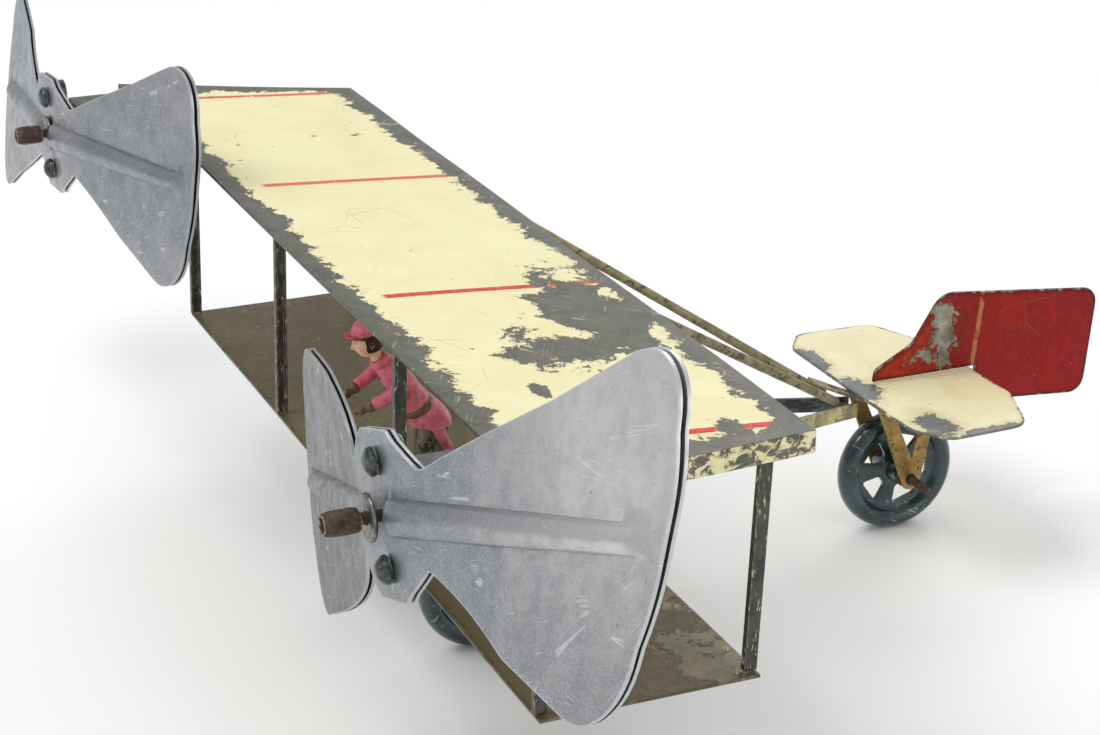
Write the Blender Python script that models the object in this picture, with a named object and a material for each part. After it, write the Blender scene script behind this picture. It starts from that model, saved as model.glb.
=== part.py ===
"""Twin-propeller tinplate biplane toy with a standing pilot.

Sizes are in millimetres and turned into metres by MM. The lower wing's leading edge is the datum:
X is the span (+X is the pilot's left), Y runs from the propellers to the tail and Z is up.
"""

import math

import bmesh
import bpy
from mathutils import Matrix, Vector

MM = 0.001
GAP = 0.3
SIDES = (("left", 1), ("right", -1))

# The datum above the floor and behind the middle of the whole model.
DATUM_Y = -67.3
DATUM_Z = 32.1

# Wings.
SHEET = 0.6
LOWER_HALF_SPAN = 100.0
LOWER_CHORD = 38.6
TOP_LEADING_HALF = 119.4
TOP_TRAILING_HALF = 108.4
TOP_LEADING_Y = -8.8
TOP_LEADING_Z = 48.8
TOP_TRAILING_Y = 42.0
TOP_TRAILING_Z = 45.4
TIP_LIP = 3.8

# Struts.
STRUT_OUTER_X = 98.9
STRUT_INNER_X = 35.2
STRUT_FRONT_Y = (0.7, 1.9)
STRUT_REAR_Y = (37.3, 39.3)
STRUT_WIDTH = 2.3
STRUT_FLANGE = 1.3
STRUT_SHEET = 0.4

# Booms and tail.
ROD_RADIUS = 0.9
UPPER_BOOM_Z = 42.6
UPPER_BOOM_START_Y = 41.2
UPPER_BOOM_END = (2.3, 107.6, -0.5)
LOWER_BOOM_START = (20.0, 39.4, -0.6)
LOWER_BOOM_END = (1.7, 113.0, -3.4)
LOWER_BOOM_HEIGHT = 3.2
LOWER_BOOM_SHEET = 0.7
TAIL_Z = 1.2
TAIL_HALF_SPAN = 31.6
TAIL_FRONT_Y = 111.5
TAIL_REAR_Y = 141.0
BRACKET_WIDTH = 5.0
BRACKET_START_Y = 103.6
BRACKET_END_Y = 119.4
BRACKET_SLOPE = -0.47
RUDDER_SHEET = 0.7
RUDDER_FRONT_Y = 117.4

# Wheels and their supports.
WHEEL_RADIUS = 13.2
WHEEL_Z = -18.9
AXLE_RADIUS = 0.9
WHEEL_BORE = 1.15
TAIL_WHEEL_Y = 123.9
FRONT_WHEEL_X = 16.2
FRONT_WHEEL_Y = 24.0
FRONT_LEG_X = 9.6
FORK_X = 6.4
LEG_SHEET = 0.8

# Propellers.
HUB_X = 106.9
HUB_Z = 42.9
BLADE_RADIUS = 73.4
BLADE_SHEET = 0.5
FRONT_SHEET_Y = -27.1
REAR_SHEET_Y = -26.1
BLADE_SKEW = 0.12
RIB_HEIGHT = 1.5
BOLT_OFFSET = 7.8
SHAFT_RADIUS = 0.9
SHAFT_REAR_Y = -9.2
BRACKET_FRONT_Y = -21.6
BEARING_FRONT_Y = -23.0
WASHER = 0.7


def at(x, y, z):
    """A point given from the datum, in the part's frame."""
    return Vector((x * MM, (y + DATUM_Y) * MM, (z + DATUM_Z) * MM))


def clear_scene():
    for obj in list(bpy.data.objects):
        bpy.data.objects.remove(obj, do_unlink=True)


def make_material(name, colour, roughness, metallic):
    material = bpy.data.materials.new(name)
    material.use_nodes = True
    shader = material.node_tree.nodes["Principled BSDF"]
    shader.inputs["Base Color"].default_value = (*colour, 1.0)
    shader.inputs["Roughness"].default_value = roughness
    shader.inputs["Metallic"].default_value = metallic
    material.diffuse_color = (*colour, 1.0)
    return material


def add_object(name, shape, look, parent=None):
    """Turns a bmesh into a named object with one material."""
    bmesh.ops.recalc_face_normals(shape, faces=shape.faces)
    mesh = bpy.data.meshes.new(name)
    shape.to_mesh(mesh)
    shape.free()
    colour, roughness, metallic = LOOKS[look]
    mesh.materials.append(make_material(name, colour, roughness, metallic))
    mesh.shade_smooth()
    mesh.set_sharp_from_angle(angle=math.radians(35))
    obj = bpy.data.objects.new(name, mesh)
    bpy.context.scene.collection.objects.link(obj)
    obj.parent = parent
    return obj


LOOKS = {
    "wing_paint": ((0.86, 0.82, 0.62), 0.45, 0.0),
    "wing_tin": ((0.22, 0.19, 0.12), 0.50, 0.3),
    "strut_tin": ((0.20, 0.20, 0.18), 0.45, 0.5),
    "boom_paint": ((0.42, 0.37, 0.24), 0.50, 0.1),
    "rudder_paint": ((0.55, 0.05, 0.03), 0.45, 0.0),
    "leg_paint": ((0.45, 0.33, 0.13), 0.45, 0.1),
    "wheel_enamel": ((0.02, 0.06, 0.07), 0.20, 0.2),
    "blade_aluminium": ((0.62, 0.64, 0.67), 0.35, 1.0),
    "steel": ((0.25, 0.27, 0.26), 0.35, 0.9),
    "rust": ((0.16, 0.09, 0.06), 0.70, 0.4),
    "coat_paint": ((0.60, 0.16, 0.20), 0.50, 0.0),
    "skin_paint": ((0.70, 0.50, 0.36), 0.50, 0.0),
    "cap_paint": ((0.68, 0.22, 0.30), 0.50, 0.0),
    "box_tin": ((0.25, 0.24, 0.21), 0.50, 0.3),
}


def prism(outline, depth):
    """A closed solid: the outline, a list of points, moved along the depth vector."""
    shape = bmesh.new()
    face = shape.faces.new([shape.verts.new(point) for point in outline])
    extruded = bmesh.ops.extrude_face_region(shape, geom=[face], use_keep_orig=True)
    moved = [item for item in extruded["geom"] if isinstance(item, bmesh.types.BMVert)]
    bmesh.ops.translate(shape, verts=moved, vec=depth)
    return shape


def tube(radius, bore, length, sides=16):
    """A solid of revolution round Y from 0 to length, with a hole where bore is above zero."""
    shape = bmesh.new()
    rings = []
    for y in (0.0, length):
        for size in (radius, bore):
            if size > 0.0:
                turns = [2 * math.pi * i / sides for i in range(sides)]
                ring = [(size * math.cos(a), y, size * math.sin(a)) for a in turns]
                rings.append([shape.verts.new(Vector(point) * MM) for point in ring])
    if bore > 0.0:
        loop = (0, 2, 3, 1, 0)
        for first, second in zip(loop, loop[1:]):
            join_rings(shape, rings[first], rings[second])
    else:
        join_rings(shape, rings[0], rings[1])
        shape.faces.new(rings[0])
        shape.faces.new(rings[1])
    return shape


def join_rings(shape, first, second):
    count = len(first)
    for i in range(count):
        j = (i + 1) % count
        shape.faces.new((first[i], first[j], second[j], second[i]))


def turned(profile, sides=32, axis="Y"):
    """A closed solid of revolution; the profile is a closed loop of (radius, distance along the axis)."""
    shape = bmesh.new()
    rings = []
    for radius, along in profile:
        ring = []
        for i in range(sides):
            angle = 2 * math.pi * i / sides
            across = (radius * math.cos(angle), radius * math.sin(angle))
            if axis == "Y":
                point = (across[0], along, across[1])
            else:
                point = (along, across[0], across[1])
            ring.append(shape.verts.new(Vector(point) * MM))
        rings.append(ring)
    for first, second in zip(rings, rings[1:] + rings[:1]):
        join_rings(shape, first, second)
    return shape


def rod(start, end, radius, sides=10):
    """A round bar between two points."""
    shape = tube(radius, 0.0, (end - start).length / MM, sides)
    turn = Vector((0, 1, 0)).rotation_difference(end - start).to_matrix().to_4x4()
    bmesh.ops.transform(shape, matrix=Matrix.Translation(start) @ turn, verts=shape.verts)
    return shape


def cut(obj, shape):
    """Cuts a bmesh away from an object with a hidden cutter that shares its parent."""
    bmesh.ops.recalc_face_normals(shape, faces=shape.faces)
    mesh = bpy.data.meshes.new(obj.name + "_cutter")
    shape.to_mesh(mesh)
    shape.free()
    cutter = bpy.data.objects.new(obj.name + "_cutter", mesh)
    bpy.context.scene.collection.objects.link(cutter)
    cutter.parent = obj.parent
    cutter.hide_render = True
    cutter.display_type = "WIRE"
    modifier = obj.modifiers.new("cut", "BOOLEAN")
    modifier.operation = "DIFFERENCE"
    modifier.object = cutter


def solidify(obj, thickness):
    """Folds sheet metal: thickens a surface inwards from its outer side."""
    modifier = obj.modifiers.new("sheet", "SOLIDIFY")
    modifier.thickness = thickness * MM
    modifier.offset = -1.0
    modifier.use_even_offset = True


def folded(name, points, faces, thickness, look, parent=None):
    shape = bmesh.new()
    corners = [shape.verts.new(point) for point in points]
    for face in faces:
        shape.faces.new([corners[i] for i in face])
    mesh = bpy.data.meshes.new(name)
    shape.to_mesh(mesh)
    shape.free()
    colour, roughness, metallic = LOOKS[look]
    mesh.materials.append(make_material(name, colour, roughness, metallic))
    obj = bpy.data.objects.new(name, mesh)
    bpy.context.scene.collection.objects.link(obj)
    obj.parent = parent
    solidify(obj, thickness)
    return obj


def top_wing_z(y):
    """Height of the top wing's upper face at a distance along Y."""
    share = (y - TOP_LEADING_Y) / (TOP_TRAILING_Y - TOP_LEADING_Y)
    return TOP_LEADING_Z + share * (TOP_TRAILING_Z - TOP_LEADING_Z)


def make_wings():
    lip = Vector((0, 0, -TIP_LIP * MM))
    front = [at(side * TOP_LEADING_HALF, TOP_LEADING_Y, TOP_LEADING_Z) for side in (-1, 1)]
    rear = [at(side * TOP_TRAILING_HALF, TOP_TRAILING_Y, TOP_TRAILING_Z) for side in (1, -1)]
    top = front + rear
    points = top + [point + lip for point in top]
    faces = [(0, 1, 2, 3), (1, 5, 6, 2), (3, 7, 4, 0)]
    folded("top_wing_panel", points, faces, SHEET, "wing_paint")

    outline = [
        at(x, y, -SHEET)
        for x, y in (
            (-LOWER_HALF_SPAN, 0),
            (LOWER_HALF_SPAN, 0),
            (LOWER_HALF_SPAN, LOWER_CHORD),
            (-LOWER_HALF_SPAN, LOWER_CHORD),
        )
    ]
    add_object("lower_wing_panel", prism(outline, Vector((0, 0, SHEET * MM))), "wing_tin")


def make_strut(name, x, y_range, inward):
    """A folded channel: a web that faces outwards and two flanges that point inwards."""
    half = STRUT_WIDTH / 2
    top = top_wing_z(y_range[1] + half) - SHEET - 2 * GAP
    points = []
    for y, z in zip(y_range, (GAP, top)):
        for dx, dy in ((STRUT_FLANGE, -half), (0, -half), (0, half), (STRUT_FLANGE, half)):
            points.append(at(x + inward * dx, y + dy, z))
    faces = [(i, i + 1, i + 5, i + 4) for i in range(3)]
    if inward > 0:
        faces = [face[::-1] for face in faces]
    folded(name, points, faces, STRUT_SHEET, "strut_tin")


def make_struts():
    for place, y_range in (("front", STRUT_FRONT_Y), ("rear", STRUT_REAR_Y)):
        for side_name, side in SIDES:
            for rank, x in (("outer", STRUT_OUTER_X), ("inner", STRUT_INNER_X)):
                make_strut(f"{place}_{rank}_strut_{side_name}", side * x, y_range, -side)


def make_booms():
    for side_name, side in SIDES:
        start = at(side * STRUT_INNER_X, UPPER_BOOM_START_Y, UPPER_BOOM_Z)
        end = at(side * UPPER_BOOM_END[0], *UPPER_BOOM_END[1:])
        add_object(f"upper_boom_{side_name}", rod(start, end, ROD_RADIUS), "boom_paint")

        start = at(side * LOWER_BOOM_START[0], *LOWER_BOOM_START[1:])
        end = at(side * LOWER_BOOM_END[0], *LOWER_BOOM_END[1:])
        up = Vector((0, 0, LOWER_BOOM_HEIGHT / 2 * MM))
        run = (end - start).normalized()
        across = run.cross(Vector((0, 0, 1))).normalized() * LOWER_BOOM_SHEET * MM
        outline = [start - up, end - up, end + up, start + up]
        strip = prism([point - across / 2 for point in outline], across)
        add_object(f"lower_boom_{side_name}", strip, "boom_paint")


def make_tail_bracket():
    """A slotted strip that slopes down over the boom ends and under the tailplane."""
    half = BRACKET_WIDTH / 2
    meeting_z = TAIL_Z - SHEET - GAP - 0.1
    points = []
    for y in (BRACKET_START_Y, BRACKET_END_Y):
        z = meeting_z + (y - TAIL_FRONT_Y) * BRACKET_SLOPE
        points += [at(-half, y, z), at(half, y, z)]
    bracket = folded("tail_bracket", points, [(0, 1, 3, 2)], SHEET, "boom_paint")
    middle, reach, width = 108.6, 2.3, 1.2
    slot = [(0, -reach), (width, -reach * 0.4), (width, reach * 0.4)]
    slot += [(-x, -y) for x, y in slot]
    outline = [at(x, middle + y, 12) for x, y in slot]
    cut(bracket, prism(outline, Vector((0, 0, -20 * MM))))


def rounded(corners, steps=4):
    """Replaces each (x, y, radius) corner of an outline with an arc."""
    result = []
    count = len(corners)
    for i, (x, y, radius) in enumerate(corners):
        here = Vector((x, y))
        back = (Vector(corners[i - 1][:2]) - here).normalized()
        ahead = (Vector(corners[(i + 1) % count][:2]) - here).normalized()
        if radius == 0:
            result.append((x, y))
            continue
        half = back.angle(ahead) / 2
        reach = radius / math.tan(half)
        centre = here + (back + ahead).normalized() * radius / math.sin(half)
        first = here + back * reach - centre
        turn = first.angle_signed(here + ahead * reach - centre)
        for step in range(steps + 1):
            angle = -turn * step / steps
            spoke = Vector((
                first.x * math.cos(angle) - first.y * math.sin(angle),
                first.x * math.sin(angle) + first.y * math.cos(angle),
            ))
            result.append(tuple(centre + spoke))
    return result


def make_tailplane():
    right = [
        (TAIL_HALF_SPAN - 7, TAIL_FRONT_Y + 0.4, 6),
        (TAIL_HALF_SPAN, TAIL_FRONT_Y + 5.4, 3.5),
        (TAIL_HALF_SPAN - 0.6, TAIL_FRONT_Y + 23.4, 5),
        (TAIL_HALF_SPAN - 16, TAIL_REAR_Y, 8),
    ]
    left = [(-x, y, radius) for x, y, radius in reversed(right)]
    corners = [(0, TAIL_FRONT_Y, 0)] + right + [(0, TAIL_REAR_Y, 0)] + left
    outline = [at(x, y, TAIL_Z - SHEET) for x, y in rounded(corners)]
    add_object("tailplane", prism(outline, Vector((0, 0, SHEET * MM))), "wing_paint")


def make_rudder():
    """A swan-necked plate that stands on the tailplane and hangs down behind it."""
    foot = TAIL_Z + GAP
    behind = TAIL_REAR_Y + 1.0
    corners = [
        (RUDDER_FRONT_Y, foot, 0),
        (RUDDER_FRONT_Y + 0.4, foot + 2.6, 1.5),
        (126.4, 8.6, 6),
        (133.0, 19.0, 5),
        (171.8, 14.8, 3.5),
        (169.8, -8.8, 3.5),
        (151.0, -7.2, 8),
        (behind, -4.8, 2),
        (behind, foot, 0),
    ]
    outline = [at(-RUDDER_SHEET / 2, y, z) for y, z in rounded(corners, 5)]
    add_object("rudder", prism(outline, Vector((RUDDER_SHEET * MM, 0, 0))), "rudder_paint")


def make_leg(name, x, feet_y, top_z, axle_y):
    """A V-shaped sheet leg whose two arms meet in an eyelet round the axle."""
    arm = 1.5
    eyelet = 2.3
    first, second = feet_y
    crotch = (axle_y, WHEEL_Z + eyelet + 2.2, 0)
    corners = [
        (first - arm, top_z, 0),
        (first + arm, top_z, 0),
        crotch,
        (second - arm, top_z, 0),
        (second + arm, top_z, 0),
        (axle_y + eyelet, WHEEL_Z, eyelet * 0.4),
        (axle_y + eyelet * 0.6, WHEEL_Z - eyelet, eyelet * 0.6),
        (axle_y - eyelet * 0.6, WHEEL_Z - eyelet, eyelet * 0.6),
        (axle_y - eyelet, WHEEL_Z, eyelet * 0.4),
    ]
    outline = [at(x - LEG_SHEET / 2, y, z) for y, z in rounded(corners, 3)]
    leg = add_object(name, prism(outline, Vector((LEG_SHEET * MM, 0, 0))), "leg_paint")
    hole = rod(at(x - 3, axle_y, WHEEL_Z), at(x + 3, axle_y, WHEEL_Z), AXLE_RADIUS + GAP, 12)
    cut(leg, hole)


def make_wheel(name, x, y, hub_half):
    """A dished wheel: a fat rim, a thin web with five windows, and a hub tube."""
    pivot = bpy.data.objects.new(name + "_pivot", None)
    pivot.location = at(x, y, WHEEL_Z)
    bpy.context.scene.collection.objects.link(pivot)
    profile = [
        (WHEEL_BORE, -hub_half),
        (2.4, -hub_half),
        (2.4, -0.5),
        (8.9, -0.5),
        (9.8, -2.1),
        (11.5, -2.6),
        (WHEEL_RADIUS - 0.4, -1.5),
        (WHEEL_RADIUS, 0.0),
        (WHEEL_RADIUS - 0.4, 1.5),
        (11.5, 2.6),
        (9.8, 2.1),
        (8.9, 0.5),
        (2.4, 0.5),
        (2.4, hub_half),
        (WHEEL_BORE, hub_half),
    ]
    wheel = add_object(name, turned(profile, 40, "X"), "wheel_enamel", pivot)
    windows = bmesh.new()
    for k in range(5):
        middle = 2 * math.pi * (k + 0.5) / 5
        spread = math.radians(23)
        rings = []
        for along in (-3.0, 3.0):
            ring = []
            for radius, share in ((3.9, -0.8), (8.1, -1), (8.5, 0), (8.1, 1), (3.9, 0.8)):
                angle = middle + share * spread
                spot = Vector((along, radius * math.cos(angle), radius * math.sin(angle)))
                ring.append(windows.verts.new(spot * MM))
            rings.append(ring)
        join_rings(windows, rings[0], rings[1])
        windows.faces.new(rings[0])
        windows.faces.new(rings[1])
    cut(wheel, windows)


def make_running_gear():
    tail_leg_top = TAIL_Z - SHEET - GAP
    for side_name, side in SIDES:
        feet = (TAIL_WHEEL_Y - 8.0, TAIL_WHEEL_Y + 4.6)
        make_leg(f"tail_fork_{side_name}", side * FORK_X, feet, tail_leg_top, TAIL_WHEEL_Y)
        feet = (FRONT_WHEEL_Y - 7.0, FRONT_WHEEL_Y + 7.0)
        make_leg(f"front_leg_{side_name}", side * FRONT_LEG_X, feet, -SHEET - GAP, FRONT_WHEEL_Y)
        make_wheel(f"front_wheel_{side_name}", side * FRONT_WHEEL_X, FRONT_WHEEL_Y, 4.2)
    make_wheel("tail_wheel", 0, TAIL_WHEEL_Y, FORK_X - 1.2)
    tail_axle = rod(at(-8.6, TAIL_WHEEL_Y, WHEEL_Z), at(13.4, TAIL_WHEEL_Y, WHEEL_Z), AXLE_RADIUS, 12)
    add_object("tail_axle", tail_axle, "rust")
    reach = FRONT_WHEEL_X + 6.0
    ends = [at(side * reach, FRONT_WHEEL_Y, WHEEL_Z) for side in (-1, 1)]
    add_object("front_axle", rod(*ends, AXLE_RADIUS, 12), "rust")


def blade_half_width(r, fullness):
    """Half width of a blade sheet at a distance from the shaft: hub tab, waist, fan and rounded tip."""
    tab, waist = (5.5, 12.4), (14.5, 6.8)
    corner_r, corner_w, corner = BLADE_RADIUS - 11.3, 12.6, 9.4
    edge_end = (corner_r - 3.0, corner_w + math.sqrt(corner**2 - 9.0))
    if r <= tab[0]:
        return tab[1]
    if r <= waist[0]:
        share = (r - tab[0]) / (waist[0] - tab[0])
        return tab[1] + share * (waist[1] - tab[1])
    if r <= edge_end[0]:
        share = ((r - waist[0]) / (edge_end[0] - waist[0])) ** (1 / (1 + fullness))
        return waist[1] + share * (edge_end[1] - waist[1])
    if r <= corner_r + corner:
        return corner_w + math.sqrt(max(corner**2 - (r - corner_r) ** 2, 0.0))
    left = max(BLADE_RADIUS - r, 0.0) / (BLADE_RADIUS - corner_r - corner)
    return 3.0 + (corner_w - 3.0) * math.sqrt(left)


def rib_half_width(r):
    return 3.0 - 1.1 * min(r / 68.0, 1.0)


def ramp(r):
    """Rises from 0 near the hub to 1 out on the blade."""
    return min(max((abs(r) - 12.0) / 30.0, 0.0), 1.0)


def sheet_offset(r, w, cone, pitch):
    """How far back a blade sheet lies at a spot: cone, pitch and the pressed rib."""
    size = abs(r)
    back = max(size - 8.0, 0.0) * math.tan(cone) + w * math.tan(pitch) * ramp(r)
    across = min(abs(w) / rib_half_width(size), 1.0)
    height = RIB_HEIGHT * min(max((size - 4.0) / 5.0, 0.0), 1.0) * min(max((70.0 - size) / 7.0, 0.0), 1.0)
    return back - height * math.cos(across * math.pi / 2)


def blade_sheet(front_y, set_of_blades):
    """A two-bladed sheet. Each blade has its cone, pitch and fullness, the one towards +X first."""
    radii = [0, 5.5, 9.0, 14.5, 22, 30, 38, 46, 54]
    radii += [BLADE_RADIUS - inset for inset in (14.3, 10.4, 6.9, 4.2, 1.9, 0.6, 0.0)]
    stations = [-r for r in reversed(radii[1:])] + radii
    shape = bmesh.new()
    layers = []
    for depth in (0.0, BLADE_SHEET):
        rows = []
        for r in stations:
            *bend, fullness = set_of_blades[0] if r >= 0 else set_of_blades[1]
            half = blade_half_width(abs(r), fullness)
            rib = min(rib_half_width(abs(r)), half * 0.6)
            inner = (half + rib) / 2
            spots = (-half, -inner, -rib, -rib / 2, 0, rib / 2, rib, inner, half)
            lean = math.copysign(BLADE_SKEW, r) * ramp(r)
            row = [(r + lean * w, front_y + depth + sheet_offset(r, w, *bend), w) for w in spots]
            rows.append([shape.verts.new(Vector(point) * MM) for point in row])
        layers.append(rows)
    last = len(layers[0][0]) - 1
    for rows in layers:
        for first, second in zip(rows, rows[1:]):
            for i in range(last):
                shape.faces.new((first[i], first[i + 1], second[i + 1], second[i]))
    front, back = layers
    for i in range(len(stations) - 1):
        for j in (0, last):
            shape.faces.new((front[i][j], front[i + 1][j], back[i + 1][j], back[i][j]))
    for i in (0, len(stations) - 1):
        for j in range(last):
            shape.faces.new((front[i][j], front[i][j + 1], back[i][j + 1], back[i][j]))
    return shape


def shifted(shape, x, y, z):
    bmesh.ops.translate(shape, verts=shape.verts, vec=Vector((x, y, z)) * MM)
    return shape


def hub_holes():
    """Three cutters in one: the shaft hole and the two bolt holes."""
    shape = bmesh.new()
    for z, radius in ((0, SHAFT_RADIUS + GAP), (BOLT_OFFSET, 1.3), (-BOLT_OFFSET, 1.3)):
        cylinder = shifted(tube(radius, 0.0, 20, 12), 0, -36, z)
        mesh = bpy.data.meshes.new("hole")
        cylinder.to_mesh(mesh)
        cylinder.free()
        shape.from_mesh(mesh)
        bpy.data.meshes.remove(mesh)
    return shape


def bolt():
    """A round-headed bolt; the head is in front and the shank points back."""
    profile = [(0.05, -1.9), (1.3, -1.85), (2.0, -1.5), (2.2, -0.9), (2.2, 0), (1.0, 0), (1.0, 4.0), (0.05, 4.0)]
    shape = turned(profile, 16, "Y")
    bmesh.ops.remove_doubles(shape, verts=shape.verts, dist=0.11 * MM)
    return shape


def make_propeller(side_name, side, turn, set_of_blades, slack):
    pivot = bpy.data.objects.new(f"propeller_pivot_{side_name}", None)
    pivot.location = at(side * HUB_X, 0, HUB_Z)
    pivot.rotation_euler = (0, -turn, 0)
    bpy.context.scene.collection.objects.link(pivot)

    def add(name, shape, look):
        return add_object(f"{name}_{side_name}", shape, look, pivot)

    for name, y in (("propeller_front_sheet", FRONT_SHEET_Y), ("propeller_rear_sheet", REAR_SHEET_Y)):
        sheet = add(name, blade_sheet(y, set_of_blades), "blade_aluminium")
        cut(sheet, hub_holes())
    bar_y = REAR_SHEET_Y + BLADE_SHEET + GAP
    bar = [(x, z, 2.2) for x, z in ((-2.8, -11.2), (2.8, -11.2), (2.8, 11.2), (-2.8, 11.2))]
    outline = [Vector((x, bar_y, z)) * MM for x, z in rounded(bar, 3)]
    hub_bar = add("propeller_hub_bar", prism(outline, Vector((0, 2.0 * MM, 0))), "steel")
    cut(hub_bar, hub_holes())
    for place, z in (("upper", BOLT_OFFSET), ("lower", -BOLT_OFFSET)):
        head = shifted(bolt(), 0, FRONT_SHEET_Y - GAP, z)
        add(f"propeller_{place}_bolt", head, "steel")
    washer_y = FRONT_SHEET_Y - GAP - slack - WASHER
    washer = shifted(tube(3.7, SHAFT_RADIUS + GAP, WASHER, 24), 0, washer_y, 0)
    add("propeller_washer", washer, "steel")
    sleeve = [(1.2, 0.0), (1.2, -5.4), (1.5, -6.3), (1.85, -5.8), (2.05, -3.0), (1.9, 0.0)]
    sleeve = shifted(turned(sleeve, 16, "Y"), 0, washer_y - GAP, 0)
    add("propeller_shaft_sleeve", sleeve, "rust")
    shaft_front = washer_y - GAP - 5.9
    shaft = tube(SHAFT_RADIUS, 0.0, SHAFT_REAR_Y - shaft_front, 14)
    add("propeller_shaft", shifted(shaft, 0, shaft_front, 0), "steel")
    collar = shifted(tube(2.0, SHAFT_RADIUS + GAP, 2.0, 16), 0, -11.7, 0)
    add("propeller_shaft_collar", collar, "steel")


def make_propeller_bracket(side_name, side):
    """An inverted channel ahead of the wing tip.

    Its flanges run on under the wing, and its front end turns down to hold the bearing tube.
    """
    half = 5.4
    front, middle, rear = BRACKET_FRONT_Y, TOP_LEADING_Y - GAP, 4.0
    top = TOP_LEADING_Z
    step = SHEET + GAP + 0.3
    lip = 3.0
    x = side * HUB_X
    points = []
    for dx in (-half, half):
        points += [
            at(x + dx, front, top),
            at(x + dx, middle, top),
            at(x + dx, middle, top - step),
            at(x + dx, rear, top_wing_z(rear) - step),
            at(x + dx, rear, top_wing_z(rear) - lip),
            at(x + dx, front, top - lip),
        ]
    points += [at(x + dx, front, HUB_Z - 3.2) for dx in (-half * 0.5, half * 0.5)]
    faces = [(0, 6, 7, 1), (0, 1, 2, 3, 4, 5), (11, 10, 9, 8, 7, 6), (0, 5, 12, 13, 11, 6)]
    bracket = folded(f"propeller_bracket_{side_name}", points, faces, SHEET, "strut_tin")
    hole = rod(at(x, front - 3, HUB_Z), at(x, front + 3, HUB_Z), 2.1, 16)
    cut(bracket, hole)
    bearing = tube(1.8, SHAFT_RADIUS + 0.25, 11.0, 16)
    shifted(bearing, x, BEARING_FRONT_Y + DATUM_Y, HUB_Z + DATUM_Z)
    add_object(f"propeller_bearing_{side_name}", bearing, "steel")


def make_propellers():
    def blade(cone, pitch, fullness):
        return math.radians(cone), math.radians(pitch), fullness

    rests = {
        "left": (math.radians(19.2), (blade(8.9, 17.0, 0.0), blade(9.3, 5.0, 1.4)), 1.6),
        "right": (math.radians(5.5), (blade(10.0, 6.4, 0.0), blade(4.6, 10.5, 0.0)), 0.0),
    }
    for side_name, side in SIDES:
        make_propeller(side_name, side, *rests[side_name])
        make_propeller_bracket(side_name, side)


def loft(sections, sides=12):
    """A closed body through (centre, half width along X, half depth, lean) sections."""
    shape = bmesh.new()
    rings = []
    for centre, half_x, half_depth, lean in sections:
        ring = []
        for i in range(sides):
            angle = 2 * math.pi * i / sides
            forward = half_depth * math.sin(angle)
            offset = Vector((
                half_x * math.cos(angle),
                forward * math.cos(lean),
                forward * math.sin(lean),
            ))
            ring.append(shape.verts.new(at(*centre) + offset * MM))
        rings.append(ring)
    return close_rings(shape, rings)


def limb(joints, sides=10):
    """A closed round limb through (centre, radius) joints, each ring square to the limb."""
    centres = [at(*centre) for centre, _ in joints]
    shape = bmesh.new()
    rings = []
    for i, (_, radius) in enumerate(joints):
        ahead = centres[min(i + 1, len(joints) - 1)] - centres[max(i - 1, 0)]
        turn = Vector((0, 0, 1)).rotation_difference(ahead)
        ring = []
        for k in range(sides):
            angle = 2 * math.pi * k / sides
            spoke = Vector((math.cos(angle), math.sin(angle), 0)) * radius * MM
            ring.append(shape.verts.new(centres[i] + turn @ spoke))
        rings.append(ring)
    return close_rings(shape, rings)


def close_rings(shape, rings):
    for first, second in zip(rings, rings[1:]):
        join_rings(shape, first, second)
    shape.faces.new(rings[0])
    shape.faces.new(rings[-1])
    return shape


def make_pilot():
    """A standing figure that leans forward over a box, one leg ahead of it and one behind."""
    box = [at(x, y, GAP) for x, y in ((-2.4, 17.2), (2.4, 17.2), (2.4, 22.6), (-2.4, 22.6))]
    add_object("pilot_seat_box", prism(box, Vector((0, 0, 8.0 * MM))), "box_tin")
    lean = math.radians(35)
    coat = [
        ((0, 19.4, 9.0), 5.6, 4.6, 0.0),
        ((0, 18.6, 10.6), 5.0, 4.0, lean * 0.5),
        ((0, 16.4, 13.6), 3.7, 3.1, lean),
        ((0, 14.0, 17.2), 4.1, 3.0, lean),
        ((0, 11.6, 20.6), 4.3, 2.6, lean),
        ((0, 10.6, 22.4), 2.4, 1.6, lean),
    ]
    add_object("pilot_coat", loft(coat), "coat_paint")
    head = [
        ((0, 9.0, 23.7), 1.2, 1.2, lean),
        ((0, 8.4, 24.5), 2.0, 2.1, 0.3),
        ((0, 7.8, 25.6), 2.35, 2.6, 0.15),
        ((0, 7.5, 27.0), 2.45, 2.7, 0.1),
        ((0, 7.5, 28.0), 2.35, 2.5, 0.1),
    ]
    add_object("pilot_head", loft(head), "skin_paint")
    cap = [
        ((0, 6.2, 28.4), 2.7, 3.9, 0.1),
        ((0, 6.7, 28.9), 2.8, 3.4, 0.1),
        ((0, 7.4, 30.2), 2.5, 2.6, 0.1),
        ((0, 7.7, 31.2), 1.3, 1.5, 0.1),
    ]
    add_object("pilot_cap", loft(cap), "cap_paint")
    for side_name, side in SIDES:
        arm = [
            ((side * 5.7, 12.4, 20.4), 1.1),
            ((side * 6.1, 11.0, 18.4), 1.4),
            ((side * 5.6, 8.4, 16.8), 1.2),
            ((side * 4.8, 6.0, 15.6), 1.0),
            ((side * 4.3, 4.4, 14.9), 0.9),
        ]
        add_object(f"pilot_arm_{side_name}", limb(arm), "coat_paint")
    legs = {
        "left": (((4.0, 19.9, 8.4), 1.2), ((3.9, 21.6, 5.0), 1.0), ((3.9, 23.0, 1.4), 1.1)),
        "right": (((-3.4, 15.2, 8.4), 1.3), ((-3.6, 14.6, 5.0), 1.1), ((-3.6, 14.3, 1.0), 1.1)),
    }
    for side_name, joints in legs.items():
        add_object(f"pilot_leg_{side_name}", limb(joints), "coat_paint")


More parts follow.
